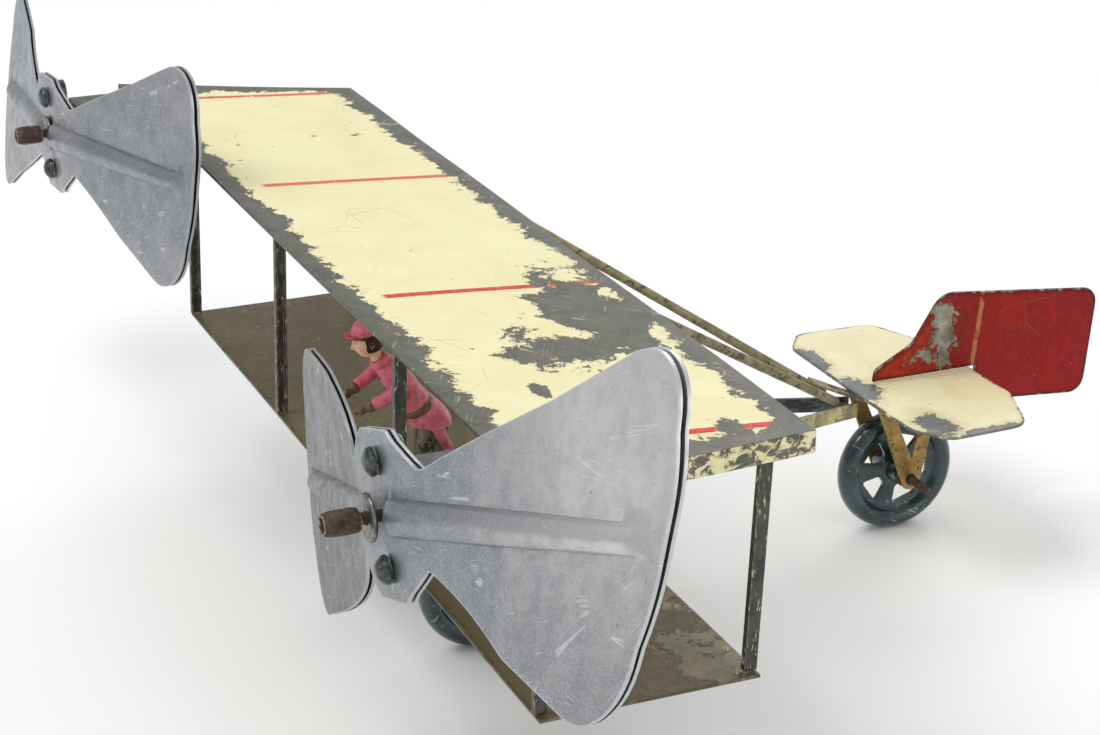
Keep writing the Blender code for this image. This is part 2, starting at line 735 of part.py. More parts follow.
def main():
    clear_scene()
    make_wings()
    make_struts()
    make_booms()
    make_tail_bracket()
    make_tailplane()
    make_rudder()
    make_running_gear()
    make_propellers()
    make_pilot()


main()
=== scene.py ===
"""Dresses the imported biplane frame: detailed pieces, worn-paint materials, studio and camera.

Sizes are in millimetres from the lower wing's leading edge, and at() turns them into the frame's metres.
"""

import math

import bmesh
import bpy
from mathutils import Matrix, Vector, kdtree, noise


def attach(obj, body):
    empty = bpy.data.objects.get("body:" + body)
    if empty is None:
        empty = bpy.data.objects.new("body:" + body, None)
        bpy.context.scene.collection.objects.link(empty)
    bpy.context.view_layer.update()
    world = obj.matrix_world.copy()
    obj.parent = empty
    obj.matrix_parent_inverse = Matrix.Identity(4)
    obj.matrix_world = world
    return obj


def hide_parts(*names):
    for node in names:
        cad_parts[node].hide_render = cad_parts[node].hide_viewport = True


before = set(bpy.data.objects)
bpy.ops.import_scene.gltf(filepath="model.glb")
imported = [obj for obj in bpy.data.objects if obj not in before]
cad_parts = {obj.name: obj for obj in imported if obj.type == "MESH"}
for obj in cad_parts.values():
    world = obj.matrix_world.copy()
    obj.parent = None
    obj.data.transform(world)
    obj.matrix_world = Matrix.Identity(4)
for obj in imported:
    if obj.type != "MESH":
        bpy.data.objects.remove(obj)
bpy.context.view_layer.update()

MM = 0.001
DATUM = Vector((0.0, -67.3, 32.1))
SIDES = (("left", 1), ("right", -1))

# Dimensions that repeat the CAD model's.
WHEEL_Z = -18.9
WHEEL_RADIUS = 13.2
WHEEL_BORE = 1.15
TAIL_WHEEL_Y = 123.9
FRONT_WHEEL_X = 16.2
FRONT_WHEEL_Y = 24.0
HUB_X = 106.9
HUB_Z = 42.9
BLADE_RADIUS = 73.4
BLADE_SHEET = 0.5
BLADE_SKEW = 0.12
FRONT_SHEET_Y = -27.1
REAR_SHEET_Y = -26.1
BOLT_OFFSET = 7.8
SHAFT_RADIUS = 0.9
BAR_RADIUS = 0.9
SHAFT_REAR_Y = -9.2
SLEEVE_LENGTH = 6.2
WASHER = 0.7
# Bore and outer radius, then the front and rear ends.
COLLAR = (1.0, 2.0, -11.7, -9.7)
BEARING = (1.2, 1.8, -23.0, -12.0)
GAP = 0.3

# The pressed ribs stand a little prouder than the CAD's.
RIB_HEIGHT = 2.0
# The distance stored for a piece without sharp edges.
NO_EDGE = 20.0
# How far the painted stripes lie from the middle of the top wing.
STRIPE_PLACES = (34.8, 104.5)


def at(x, y, z):
    return (Vector((x, y, z)) + DATUM) * MM


def srgb(red, green, blue, dim=1.0):
    """A linear colour from 0 to 255 display values, dimmed if asked."""
    channels = []
    for value in (red, green, blue):
        share = value * dim / 255
        channels.append(share / 12.92 if share <= 0.04045 else ((share + 0.055) / 1.055) ** 2.4)
    return (*channels, 1.0)


# ---- Mesh tools ----


def join_rings(shape, rings):
    """Faces between each ring of points and the next."""
    count = len(rings[0])
    for first, second in zip(rings, rings[1:]):
        for i in range(count):
            j = (i + 1) % count
            shape.faces.new((first[i], first[j], second[j], second[i]))


def join_rows(shape, rows):
    """Faces between each open row of points and the next."""
    for first, second in zip(rows, rows[1:]):
        for i in range(len(first) - 1):
            shape.faces.new((first[i], first[i + 1], second[i + 1], second[i]))


def close_with_fan(shape, ring):
    middle = shape.verts.new(sum((vert.co for vert in ring), Vector()) / len(ring))
    for i, vert in enumerate(ring):
        shape.faces.new((vert, ring[(i + 1) % len(ring)], middle))


def edge_samples(edges, step=0.4 * MM):
    """Points along the edges, in a tree for nearest-distance questions."""
    spots = []
    for edge in edges:
        start, end = (vert.co for vert in edge.verts)
        count = max(int((end - start).length / step), 1)
        spots += [start.lerp(end, i / count) for i in range(count + 1)]
    tree = kdtree.KDTree(max(len(spots), 1))
    for i, spot in enumerate(spots):
        tree.insert(spot, i)
    tree.balance()
    return tree if spots else None


def sharp_edges(shape, degrees=35):
    limit = math.radians(degrees)
    return [edge for edge in shape.edges if len(edge.link_faces) != 2 or edge.calc_face_angle(0.0) > limit]


def soften(shape, edges, offset):
    """Rounds the edges off by an offset in mm."""
    bmesh.ops.bevel(
        shape, geom=edges, offset=offset * MM, segments=2, profile=0.6, affect="EDGES", clamp_overlap=True
    )


def split_long_edges(shape, cell):
    for _ in range(7):
        bmesh.ops.triangulate(shape, faces=shape.faces)
        long_edges = [edge for edge in shape.edges if edge.calc_length() > cell]
        if not long_edges:
            break
        bmesh.ops.subdivide_edges(shape, edges=long_edges, cuts=1)
    bmesh.ops.triangulate(shape, faces=shape.faces)


def grid_cuts(shape, axis, cell):
    """Cuts the mesh with evenly spaced planes square to one axis."""
    places = [vert.co[axis] for vert in shape.verts]
    low, high = min(places), max(places)
    count = max(int((high - low) / cell), 1)
    normal = Vector((0, 0, 0))
    normal[axis] = 1.0
    for i in range(1, count):
        spot = Vector((0, 0, 0))
        spot[axis] = low + (high - low) * i / count
        geometry = shape.verts[:] + shape.edges[:] + shape.faces[:]
        bmesh.ops.bisect_plane(shape, geom=geometry, plane_co=spot, plane_no=normal, dist=1e-7)


def mesh_object(name, shape):
    """Turns the bmesh into an object in the scene."""
    mesh = bpy.data.meshes.new(name)
    shape.to_mesh(mesh)
    shape.free()
    obj = bpy.data.objects.new(name, mesh)
    bpy.context.scene.collection.objects.link(obj)
    return obj


def finish_piece(name, shape, look, replaced=(), body="airframe", tree=None, smooth=40):
    """Makes the object, stores each point's distance to a sharp edge in mm, and puts it on its body."""
    bmesh.ops.recalc_face_normals(shape, faces=shape.faces)
    if tree is None:
        tree = edge_samples(sharp_edges(shape, 50))
    obj = mesh_object(name, shape)
    mesh = obj.data
    if tree is None:
        distances = [NO_EDGE] * len(mesh.vertices)
    else:
        distances = [min(tree.find(vert.co)[2] / MM, 2 * NO_EDGE) for vert in mesh.vertices]
    mesh.attributes.new("edge", "FLOAT", "POINT").data.foreach_set("value", distances)
    mesh.materials.append(MATERIALS[look])
    mesh.shade_smooth()
    mesh.set_sharp_from_angle(angle=math.radians(smooth))
    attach(obj, body)
    if replaced:
        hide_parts(*replaced)
    return obj


def detailed_copy(node, look, body="airframe", bevel=0.1, cell=3.0, grid=None, wave=0.0):
    """A finer copy of a CAD node with softened edges, for the same place."""
    shape = bmesh.new()
    shape.from_mesh(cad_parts[node].data)
    bmesh.ops.remove_doubles(shape, verts=shape.verts, dist=1e-6)
    bmesh.ops.dissolve_limit(
        shape, angle_limit=math.radians(0.5), verts=shape.verts[:], edges=shape.edges[:]
    )
    sharp = sharp_edges(shape)
    tree = edge_samples(sharp)
    soften(shape, sharp, bevel)
    if grid:
        for axis, size in grid:
            grid_cuts(shape, axis, size * MM)
    else:
        split_long_edges(shape, cell * MM)
    if wave:
        for vert in shape.verts:
            spot = vert.co * 28
            vert.co.z += noise.noise(Vector((spot.x, spot.y, 3.7))) * wave * MM
    finish_piece("detailed_" + node, shape, look, (node,), body, tree)


def turned(profile, sides=48):
    """A solid of revolution round Y from a closed or axis-to-axis profile of (radius, y) in mm."""
    shape = bmesh.new()
    rings = []
    for radius, along in profile:
        if radius < 1e-6:
            rings.append([shape.verts.new((0, along * MM, 0))])
            continue
        ring = []
        for i in range(sides):
            angle = 2 * math.pi * i / sides
            spot = Vector((radius * math.cos(angle), along, radius * math.sin(angle)))
            ring.append(shape.verts.new(spot * MM))
        rings.append(ring)
    closed = profile[0][0] > 1e-6
    pairs = list(zip(rings, rings[1:])) + ([(rings[-1], rings[0])] if closed else [])
    for first, second in pairs:
        if len(first) == 1:
            for i in range(sides):
                shape.faces.new((first[0], second[i], second[(i + 1) % sides]))
        elif len(second) == 1:
            for i in range(sides):
                shape.faces.new((first[i], second[0], first[(i + 1) % sides]))
        else:
            join_rings(shape, (first, second))
    return shape


def arc(centre, radius, start, end, steps):
    """Profile points on an arc, angles in degrees."""
    spots = []
    for i in range(steps + 1):
        angle = math.radians(start + (end - start) * i / steps)
        spots.append((centre[0] + radius * math.cos(angle), centre[1] + radius * math.sin(angle)))
    return spots


def placed(shape, matrix):
    bmesh.ops.transform(shape, matrix=matrix, verts=shape.verts)
    return shape


def roughen(shape, size, height):
    """Moves every point a little along its normal, as on a hand-made casting."""
    shape.normal_update()
    for vert in shape.verts:
        vert.co += vert.normal * noise.fractal(vert.co / (size * MM), 0.7, 2.0, 3) * height * MM


def join_into(target, extra):
    mesh = bpy.data.meshes.new("joined")
    extra.to_mesh(mesh)
    extra.free()
    target.from_mesh(mesh)
    bpy.data.meshes.remove(mesh)


def bar_between(start, end, radius, sides, length_steps):
    """A round bar with softened ends; start and end are in metres."""
    length = (end - start).length / MM
    profile = [(0.0, 0.0), (radius * 0.7, 0.0), (radius, radius * 0.3)]
    inner = length_steps - 1
    profile += [(radius, radius * 0.3 + (length - radius * 0.6) * i / inner) for i in range(1, inner)]
    profile += [(radius, length - radius * 0.3), (radius * 0.7, length), (0.0, length)]
    turn = Vector((0, 1, 0)).rotation_difference(end - start).to_matrix().to_4x4()
    return placed(turned(profile, sides), Matrix.Translation(start) @ turn)


# ---- Materials ----


class Value:
    """A number or a colour inside a material; arithmetic on it makes Math nodes."""

    def __init__(self, graph, socket):
        self.graph = graph
        self.socket = socket

    def __add__(self, other):
        return self.graph.math("ADD", self, other)

    def __sub__(self, other):
        return self.graph.math("SUBTRACT", self, other)

    def __rsub__(self, other):
        return self.graph.math("SUBTRACT", other, self)

    def __mul__(self, other):
        return self.graph.math("MULTIPLY", self, other)

    def __truediv__(self, other):
        return self.graph.math("DIVIDE", self, other)

    def __abs__(self):
        return self.graph.math("ABSOLUTE", self)


class Graph:
    """One node material. Lengths inside it are millimetres of the object's own space."""

    def __init__(self, name):
        self.material = bpy.data.materials.new(name)
        self.material.use_nodes = True
        self.nodes = self.material.node_tree.nodes
        self.links = self.material.node_tree.links
        self.shader = self.nodes["Principled BSDF"]
        place = self.nodes.new("ShaderNodeTexCoord")
        scaled = self.nodes.new("ShaderNodeVectorMath")
        scaled.operation = "SCALE"
        scaled.inputs["Scale"].default_value = 1 / MM
        self.links.new(place.outputs["Object"], scaled.inputs[0])
        self.mm = scaled.outputs[0]
        self.x, self.y, self.z = self.parts(self.mm)
        self.colour = None

    def parts(self, vector):
        """The x, y and z of a vector socket."""
        split = self.nodes.new("ShaderNodeSeparateXYZ")
        self.links.new(vector, split.inputs[0])
        return [Value(self, socket) for socket in split.outputs]

    def normal(self):
        return self.parts(self.nodes.new("ShaderNodeNewGeometry").outputs["Normal"])

    def feed(self, value, socket):
        if isinstance(value, Value):
            self.links.new(value.socket, socket)
        else:
            socket.default_value = value

    def math(self, operation, first, second=0.0):
        node = self.nodes.new("ShaderNodeMath")
        node.operation = operation
        self.feed(first, node.inputs[0])
        self.feed(second, node.inputs[1])
        return Value(self, node.outputs[0])

    def least(self, first, second):
        return self.math("MINIMUM", first, second)

    def most(self, first, second):
        return self.math("MAXIMUM", first, second)

    def noise(self, size, detail=5.0, roughness=0.6, distortion=0.0, stretch=(1, 1, 1), turn=(0, 0, 0)):
        """Noise whose features are about size mm across."""
        node = self.nodes.new("ShaderNodeTexNoise")
        node.inputs["Scale"].default_value = 1.0 / size
        node.inputs["Detail"].default_value = detail
        node.inputs["Roughness"].default_value = roughness
        node.inputs["Distortion"].default_value = distortion
        self.links.new(self.mapped(stretch, turn), node.inputs["Vector"])
        return Value(self, node.outputs[0])

    def clouds(self, low, high, *noise_settings):
        """Noise stretched so that low becomes 0 and high becomes 1."""
        return self.span(self.noise(*noise_settings), low, high)

    def mapped(self, stretch, turn):
        if stretch == (1, 1, 1) and turn == (0, 0, 0):
            return self.mm
        spun = self.nodes.new("ShaderNodeMapping")
        spun.inputs["Rotation"].default_value = [math.radians(angle) for angle in turn]
        self.links.new(self.mm, spun.inputs["Vector"])
        scaled = self.nodes.new("ShaderNodeVectorMath")
        scaled.operation = "MULTIPLY"
        scaled.inputs[1].default_value = stretch
        self.links.new(spun.outputs[0], scaled.inputs[0])
        return scaled.outputs[0]

    def crack_distance(self, size):
        """How far a spot is from the borders of cells about size mm across."""
        node = self.nodes.new("ShaderNodeTexVoronoi")
        node.feature = "DISTANCE_TO_EDGE"
        node.inputs["Scale"].default_value = 1.0 / size
        self.links.new(self.mm, node.inputs["Vector"])
        return Value(self, node.outputs["Distance"])

    def span(self, value, low, high, first=0.0, last=1.0):
        """A smooth step from first to last while the value goes from low to high."""
        node = self.nodes.new("ShaderNodeMapRange")
        node.interpolation_type = "SMOOTHSTEP"
        self.feed(value, node.inputs["Value"])
        self.feed(low, node.inputs["From Min"])
        self.feed(high, node.inputs["From Max"])
        self.feed(first, node.inputs["To Min"])
        self.feed(last, node.inputs["To Max"])
        return Value(self, node.outputs["Result"])

    def mix(self, share, first, second):
        """Mixes two colours."""
        node = self.nodes.new("ShaderNodeMix")
        node.data_type = "RGBA"
        self.feed(share, node.inputs[0])
        self.feed(first, node.inputs[6])
        self.feed(second, node.inputs[7])
        return Value(self, node.outputs[2])

    def tint(self, share, *display):
        """Lays a colour of display values over the graph's own colour."""
        self.colour = self.mix(share, self.colour, srgb(*display))

    def blend(self, share, first, second):
        """Mixes two numbers."""
        node = self.nodes.new("ShaderNodeMix")
        self.feed(share, node.inputs[0])
        self.feed(first, node.inputs[2])
        self.feed(second, node.inputs[3])
        return Value(self, node.outputs[0])

    def attribute(self, name, output="Fac"):
        node = self.nodes.new("ShaderNodeAttribute")
        node.attribute_name = name
        return Value(self, node.outputs[output])

    def rim(self, wander, near, far):
        """1 on the sharp edges, falling to 0 between two distances from them."""
        return self.span(self.attribute("edge") + wander, near, far, 1.0, 0.0)

    def scratches(self, size, width, angle, plane="xy"):
        """Thin broken lines at an angle in one plane of the frame."""
        turn = {"xy": (0, 0, angle), "xz": (0, angle, 0), "yz": (angle, 0, 0)}[plane]
        stretch = (0.03, 1.0, 0.03) if plane == "xy" else (0.03, 0.03, 1.0)
        lines = self.noise(size, 1.0, 0.4, 0.0, stretch, turn)
        thin = self.span(abs(lines - 0.5), 0.0, width, 1.0, 0.0)
        cuts = self.noise(size * 1.6, 2.0, 0.5, 0.0, (1, 1, 1), tuple(part + 23 for part in turn))
        return thin * self.span(cuts, 0.58, 0.64)

    def ellipse(self, across, up, half_width, half_height, plane):
        """1 in the middle of an ellipse, 0 on its outline and negative outside; in mm of the frame."""
        axes = {"x": self.x, "y": self.y, "z": self.z}
        first = (axes[plane[0]] - across) / half_width
        second = (axes[plane[1]] - up) / half_height
        return 1.0 - self.math("SQRT", first * first + second * second)

    def bump(self, height, distance):
        """height is 0 to 1 and stands for distance mm."""
        node = self.nodes.new("ShaderNodeBump")
        node.inputs["Distance"].default_value = distance * MM
        self.feed(height, node.inputs["Height"])
        self.links.new(node.outputs[0], self.shader.inputs["Normal"])

    def finish(self, roughness, metallic=0.0, coat=0.0, specular=0.5):
        self.feed(self.colour, self.shader.inputs["Base Color"])
        self.feed(roughness, self.shader.inputs["Roughness"])
        self.feed(metallic, self.shader.inputs["Metallic"])
        self.shader.inputs["Specular IOR Level"].default_value = specular
        if coat:
            self.shader.inputs["Coat Weight"].default_value = coat
            self.shader.inputs["Coat Roughness"].default_value = 0.12
        return self.material


def bare_tin(graph, dark, light):
    """Paints the graph as mottled old tin and gives the grain of it."""
    cloud = graph.clouds(0.3, 0.7, 5.0, 6.0, 0.65, 0.4)
    grain = graph.clouds(0.3, 0.7, 0.5, 4.0, 0.6)
    graph.colour = graph.mix(cloud, dark, light)
    graph.tint(grain * 0.55, 138, 133, 116)
    marks = graph.most(graph.scratches(1.6, 0.02, 28), graph.scratches(2.2, 0.016, -52))
    graph.tint(marks * 0.5, 205, 203, 192)
    return grain


def chipped_paint(
    name,
    paint,
    stain,
    band=0.7,
    wander=6.0,
    patches=(),
    plane="xy",
    chip=0.70,
    tin=((74, 75, 70), (104, 104, 98)),
    decorate=None,
    gloss=0.42,
    size=7.0,
    speckled_lip=False,
    shine=0.35,
):
    """Old enamel on tin. It is gone near sharp edges, inside the patches and where chips fell."""
    graph = Graph(name)
    grain = bare_tin(graph, srgb(*tin[0]), srgb(*tin[1]))
    tin_colour = graph.colour
    edge = graph.attribute("edge")
    large = graph.noise(size, 8.0, 0.62, 0.5) - 0.5
    fine = graph.noise(size / 5, 6.0, 0.7, 0.8) - 0.5
    torn = large * wander + fine * (wander * 0.45)
    kept = edge + torn - band
    for *outline, depth in patches:
        kept = graph.least(kept, torn - graph.ellipse(*outline, plane) * depth)
    chips = chip - graph.noise(size * 0.55, 7.0, 0.6, 0.3)
    kept = graph.least(kept, chips * 20.0)
    islands = graph.noise(size * 0.35, 7.0, 0.68, 0.9) - 0.69
    near_band = graph.least(islands * 12.0, kept + wander * 0.5)
    kept = graph.most(kept, near_band)
    if speckled_lip:
        lip = graph.span(abs(graph.normal()[0]), 0.7, 0.75)
        crumbs = graph.noise(1.5, 8.0, 0.72, 0.6, (1, 0.55, 1)) - 0.49
        kept = graph.blend(lip, kept, crumbs * 10.0)
    cover = graph.span(kept, -0.06, 0.06)

    tone = graph.clouds(0.35, 0.75, 16.0, 5.0, 0.6, 0.6)
    graph.colour = graph.mix(tone * 0.5, srgb(*paint), srgb(*stain))
    specks = graph.clouds(0.66, 0.74, 0.7, 3.0, 0.6)
    graph.tint(specks * 0.35, *stain, 0.72)
    if decorate:
        decorate(graph, torn)
    rim = graph.span(kept, 0.0, 0.9, 1.0, 0.0)
    graph.tint(rim * 0.35, *stain, 0.78)
    cracks = graph.span(graph.crack_distance(9.0), 0.0, 0.012, 1.0, 0.0)
    cracks = cracks * graph.clouds(0.55, 0.66, 20.0, 2.0)
    graph.tint(cracks * 0.45, 120, 105, 70)

    graph.colour = graph.mix(cover, tin_colour, graph.colour)
    lumps = graph.noise(1.3, 4.0, 0.55)
    graph.bump(cover * 0.75 + lumps * 0.22 + grain * 0.06 - cracks * 0.2, 0.11)
    tin_rough = graph.span(grain, 0.0, 1.0, 0.38, 0.58)
    paint_rough = graph.span(lumps, 0.3, 0.7, gloss - 0.06, gloss + 0.12)
    roughness = graph.blend(cover, tin_rough, paint_rough)
    return graph.finish(roughness, graph.span(cover, 0.0, 1.0, 0.55, 0.0), specular=shine)


def stripes(graph, _):
    """Four red bands across the top wing's upper face, red on the near half and turning orange toward the far
    tip.
    """
    inner, outer = (abs(abs(graph.x) - place) for place in STRIPE_PLACES)
    away = graph.least(inner, outer)
    band = graph.span(away + graph.noise(2.0, 3.0) * 0.3, 1.05, 1.2, 1.0, 0.0)
    front = graph.span(graph.y, -69.0, -67.8)
    back = graph.span(graph.y, -28.5, -27.5, 1.0, 0.0)
    broken = graph.span(graph.noise(3.0, 6.0, 0.65, 0.5), 0.63, 0.66, 1.0, 0.0)
    upward = graph.span(graph.normal()[2], 0.4, 0.6)
    band = band * front * back * broken * upward
    # The bands go from orange at the far tip to red at the near tip.
    near = graph.span(graph.x, -30.0, 34.0)
    red = graph.mix(near, srgb(214, 104, 70), srgb(203, 40, 30))
    red = graph.mix(graph.clouds(0.4, 0.75, 1.2, 4.0), red, srgb(224, 92, 60))
    graph.colour = graph.mix(band, graph.colour, red)


def rudder_line(graph, torn):
    """A tan line down the rudder, an orange front, dark mottling and dark rims."""
    slant = (graph.z - 33.6) * 0.115
    away = abs(graph.y - slant - 73.9)
    line = graph.span(away + graph.noise(1.5, 3.0) * 0.6, 0.7, 1.0, 1.0, 0.0)
    broken = graph.clouds(0.38, 0.5, 2.2, 4.0, 0.6)
    front = graph.span(graph.y, 60.0, 72.0, 1.0, 0.0)
    graph.tint(front * 0.6, 196, 62, 34)
    mottle = graph.clouds(0.42, 0.66, 1.4, 5.0, 0.65)
    graph.tint(mottle * 0.5, 104, 18, 18)
    rim = graph.rim(torn * 0.4, 0.3, 1.3)
    graph.tint(rim * 0.55, 66, 22, 20)
    graph.tint(line * broken, 176, 112, 66)


def aluminium(name):
    """Dull pressed sheet, with a painted highlight on one blade, painted shade over another and grime round
    the hub.
    """
    graph = Graph(name)
    cloud = graph.clouds(0.32, 0.7, 22.0, 5.0, 0.6, 0.5)
    fine = graph.noise(0.45, 4.0, 0.6)
    haze = graph.clouds(0.35, 0.7, 4.0, 6.0, 0.7)
    graph.colour = graph.mix(cloud, srgb(120, 125, 130), srgb(146, 145, 146))
    # Painted highlight: a bright oval on the near propeller's outboard blade, standing for the light that
    # blade reflects.
    painted_highlight = graph.span(graph.ellipse(160.0, 112.0, 50.0, 40.0, "xz"), 0.0, 0.8)
    graph.tint(painted_highlight * 0.9, 212, 208, 207)
    # Painted shade: a darker oval over the near propeller's inboard blade.
    painted_shade = graph.span(graph.ellipse(58.0, 66.0, 44.0, 60.0, "xz"), 0.0, 0.3)
    graph.tint(painted_shade * 0.9, 62, 65, 60)
    graph.tint(haze * 0.3, 114, 119, 126)
    speckle = graph.clouds(0.42, 0.6, 0.32, 2.0, 0.5)
    graph.tint(speckle * 0.16, 214, 216, 220)
    pits = graph.clouds(0.70, 0.76, 1.1, 3.0, 0.5)
    graph.tint(pits * 0.6, 96, 98, 102)
    marks = graph.scratches(2.6, 0.010, 25, "xz")
    for size, angle in ((3.4, 8), (3.0, 52)):
        marks = graph.most(marks, graph.scratches(size, 0.009, angle, "xz"))
    rim = graph.rim(fine * 0.5, 0.3, 0.5)
    bright = graph.most(marks * 0.35, rim * 0.35)
    graph.tint(bright, 236, 238, 240)
    grime = graph.span(graph.attribute("hub") + fine, 1.15, 1.5)
    graph.tint(grime * 0.65, 74, 70, 60)
    graph.bump(fine * 0.3 + haze * 0.4 - marks * 0.5 - pits * 0.5, 0.03)
    rough = graph.span(haze, 0.0, 1.0, 0.28, 0.42) + fine * 0.1 - marks * 0.1
    return graph.finish(rough, 0.9)


def flaked_metal(name, base, flake, flake_at=0.60, size=1.2, metallic=0.6, stretch=(1, 1, 0.5), rough=0.4):
    """Dark metal with remains of paint as irregular flakes and bright worn edges."""
    graph = Graph(name)
    cloud = graph.clouds(0.3, 0.7, 3.0, 5.0, 0.6)
    fine = graph.noise(0.4, 4.0, 0.6)
    graph.colour = graph.mix(cloud, srgb(*base, 0.7), srgb(*base))
    flakes = graph.span(graph.noise(size, 7.0, 0.65, 0.6, stretch), flake_at, flake_at + 0.02)
    tone = graph.span(fine, 0.35, 0.65)
    paint = graph.mix(tone, srgb(*flake), srgb(*flake, 0.75))
    graph.colour = graph.mix(flakes, graph.colour, paint)
    rim = graph.rim(fine * 0.3, 0.15, 0.38)
    graph.tint(rim * 0.55, 176, 172, 156)
    graph.bump(flakes * 0.6 + fine * 0.4, 0.06)
    metal = graph.span(flakes, 0.0, 1.0, metallic, 0.0)
    return graph.finish(graph.span(fine, 0.2, 0.8, rough - 0.1, rough + 0.15), metal)


def rust(name):
    """Brown steel, rubbed bright on its edges."""
    graph = Graph(name)
    cloud = graph.clouds(0.3, 0.7, 1.6, 6.0, 0.65, 0.5)
    fine = graph.noise(0.25, 5.0, 0.65)
    graph.colour = graph.mix(cloud, srgb(48, 38, 34), srgb(98, 76, 62))
    graph.tint(graph.span(fine, 0.55, 0.75), 136, 118, 102)
    rim = graph.rim(fine, 0.5, 0.75)
    graph.tint(rim * 0.6, 190, 180, 168)
    graph.bump(fine + cloud, 0.08)
    return graph.finish(graph.span(fine, 0.2, 0.8, 0.5, 0.85), 0.35)


def dark_steel(name, base=(92, 96, 94), gloss=0.28):
    """Smooth steel with pale spots and worn edges."""
    graph = Graph(name)
    cloud = graph.clouds(0.3, 0.7, 1.5, 5.0, 0.6, 0.4)
    fine = graph.noise(0.3, 4.0, 0.6)
    graph.colour = graph.mix(cloud, srgb(*base, 0.55), srgb(*base))
    spots = graph.clouds(0.60, 0.72, 0.7, 4.0, 0.6)
    graph.tint(spots * 0.45, 176, 180, 178)
    rim = graph.rim(fine * 0.4, 0.25, 0.5)
    graph.tint(rim * 0.6, 190, 190, 184)
    graph.bump(fine + cloud * 0.6, 0.05)
    return graph.finish(graph.span(fine, 0.2, 0.8, gloss - 0.08, gloss + 0.2), 0.85)


def glossy_enamel(name):
    """Thick dark teal enamel with chips and pale scratches."""
    graph = Graph(name)
    cloud = graph.clouds(0.3, 0.7, 5.0, 4.0, 0.5)
    fine = graph.noise(0.5, 4.0, 0.6)
    graph.colour = graph.mix(cloud, srgb(20, 34, 38), srgb(46, 70, 74))
    marks = graph.most(graph.scratches(1.4, 0.03, 30, "yz"), graph.scratches(1.8, 0.025, -55, "yz"))
    chips = graph.clouds(0.66, 0.68, 1.6, 6.0, 0.6, 0.3)
    graph.tint(marks * 0.6, 170, 182, 182)
    graph.tint(chips, 120, 116, 100)
    graph.bump(fine * 0.2 - chips * 0.7, 0.06)
    rough = graph.span(cloud, 0.0, 1.0, 0.16, 0.26) + chips * 0.35
    return graph.finish(rough, coat=0.5)


def figure_paint(name, base, shade, dirt=0.45, chip=0.70, chip_colour=(70, 62, 58), rough=0.42, size=1.6):
    """Brushed-on toy enamel with darker streaks of grime and a few chips."""
    graph = Graph(name)
    tone = graph.clouds(0.35, 0.7, size * 1.6, 4.0, 0.6, 0.4)
    fine = graph.noise(size * 0.18, 4.0, 0.6)
    graph.colour = graph.mix(tone, srgb(*base), srgb(*shade))
    streak = graph.clouds(0.5, 0.72, size * 0.5, 3.0, 0.6, 0.2, (1, 1, 0.35))
    graph.tint(streak * dirt, *shade, 0.6)
    chips = graph.span(graph.noise(size * 0.7, 5.0, 0.6, 0.3), chip, chip + 0.02)
    graph.tint(chips, *chip_colour)
    graph.bump(fine * 0.35 + tone * 0.3 - chips * 0.6, 0.05)
    return graph.finish(graph.span(fine, 0.2, 0.8, rough - 0.08, rough + 0.14))


def painted_head(name):
    """Skin enamel with the features painted on through the mesh's own colour layer."""
    graph = Graph(name)
    graph.colour = graph.attribute("paint", "Color")
    fine = graph.noise(0.3, 4.0, 0.6)
    blotch = graph.clouds(0.4, 0.75, 1.4, 4.0, 0.6)
    graph.tint(blotch * 0.3, 150, 104, 84)
    worn = graph.clouds(0.72, 0.75, 0.6, 5.0, 0.6)
    graph.tint(worn, 96, 84, 76)
    graph.bump(fine * 0.5 + blotch, 0.02)
    return graph.finish(graph.span(fine, 0.2, 0.8, 0.34, 0.5))


# Flakes on a boom are drawn out along it.
ALONG_BOOM = (1, 0.45, 1)

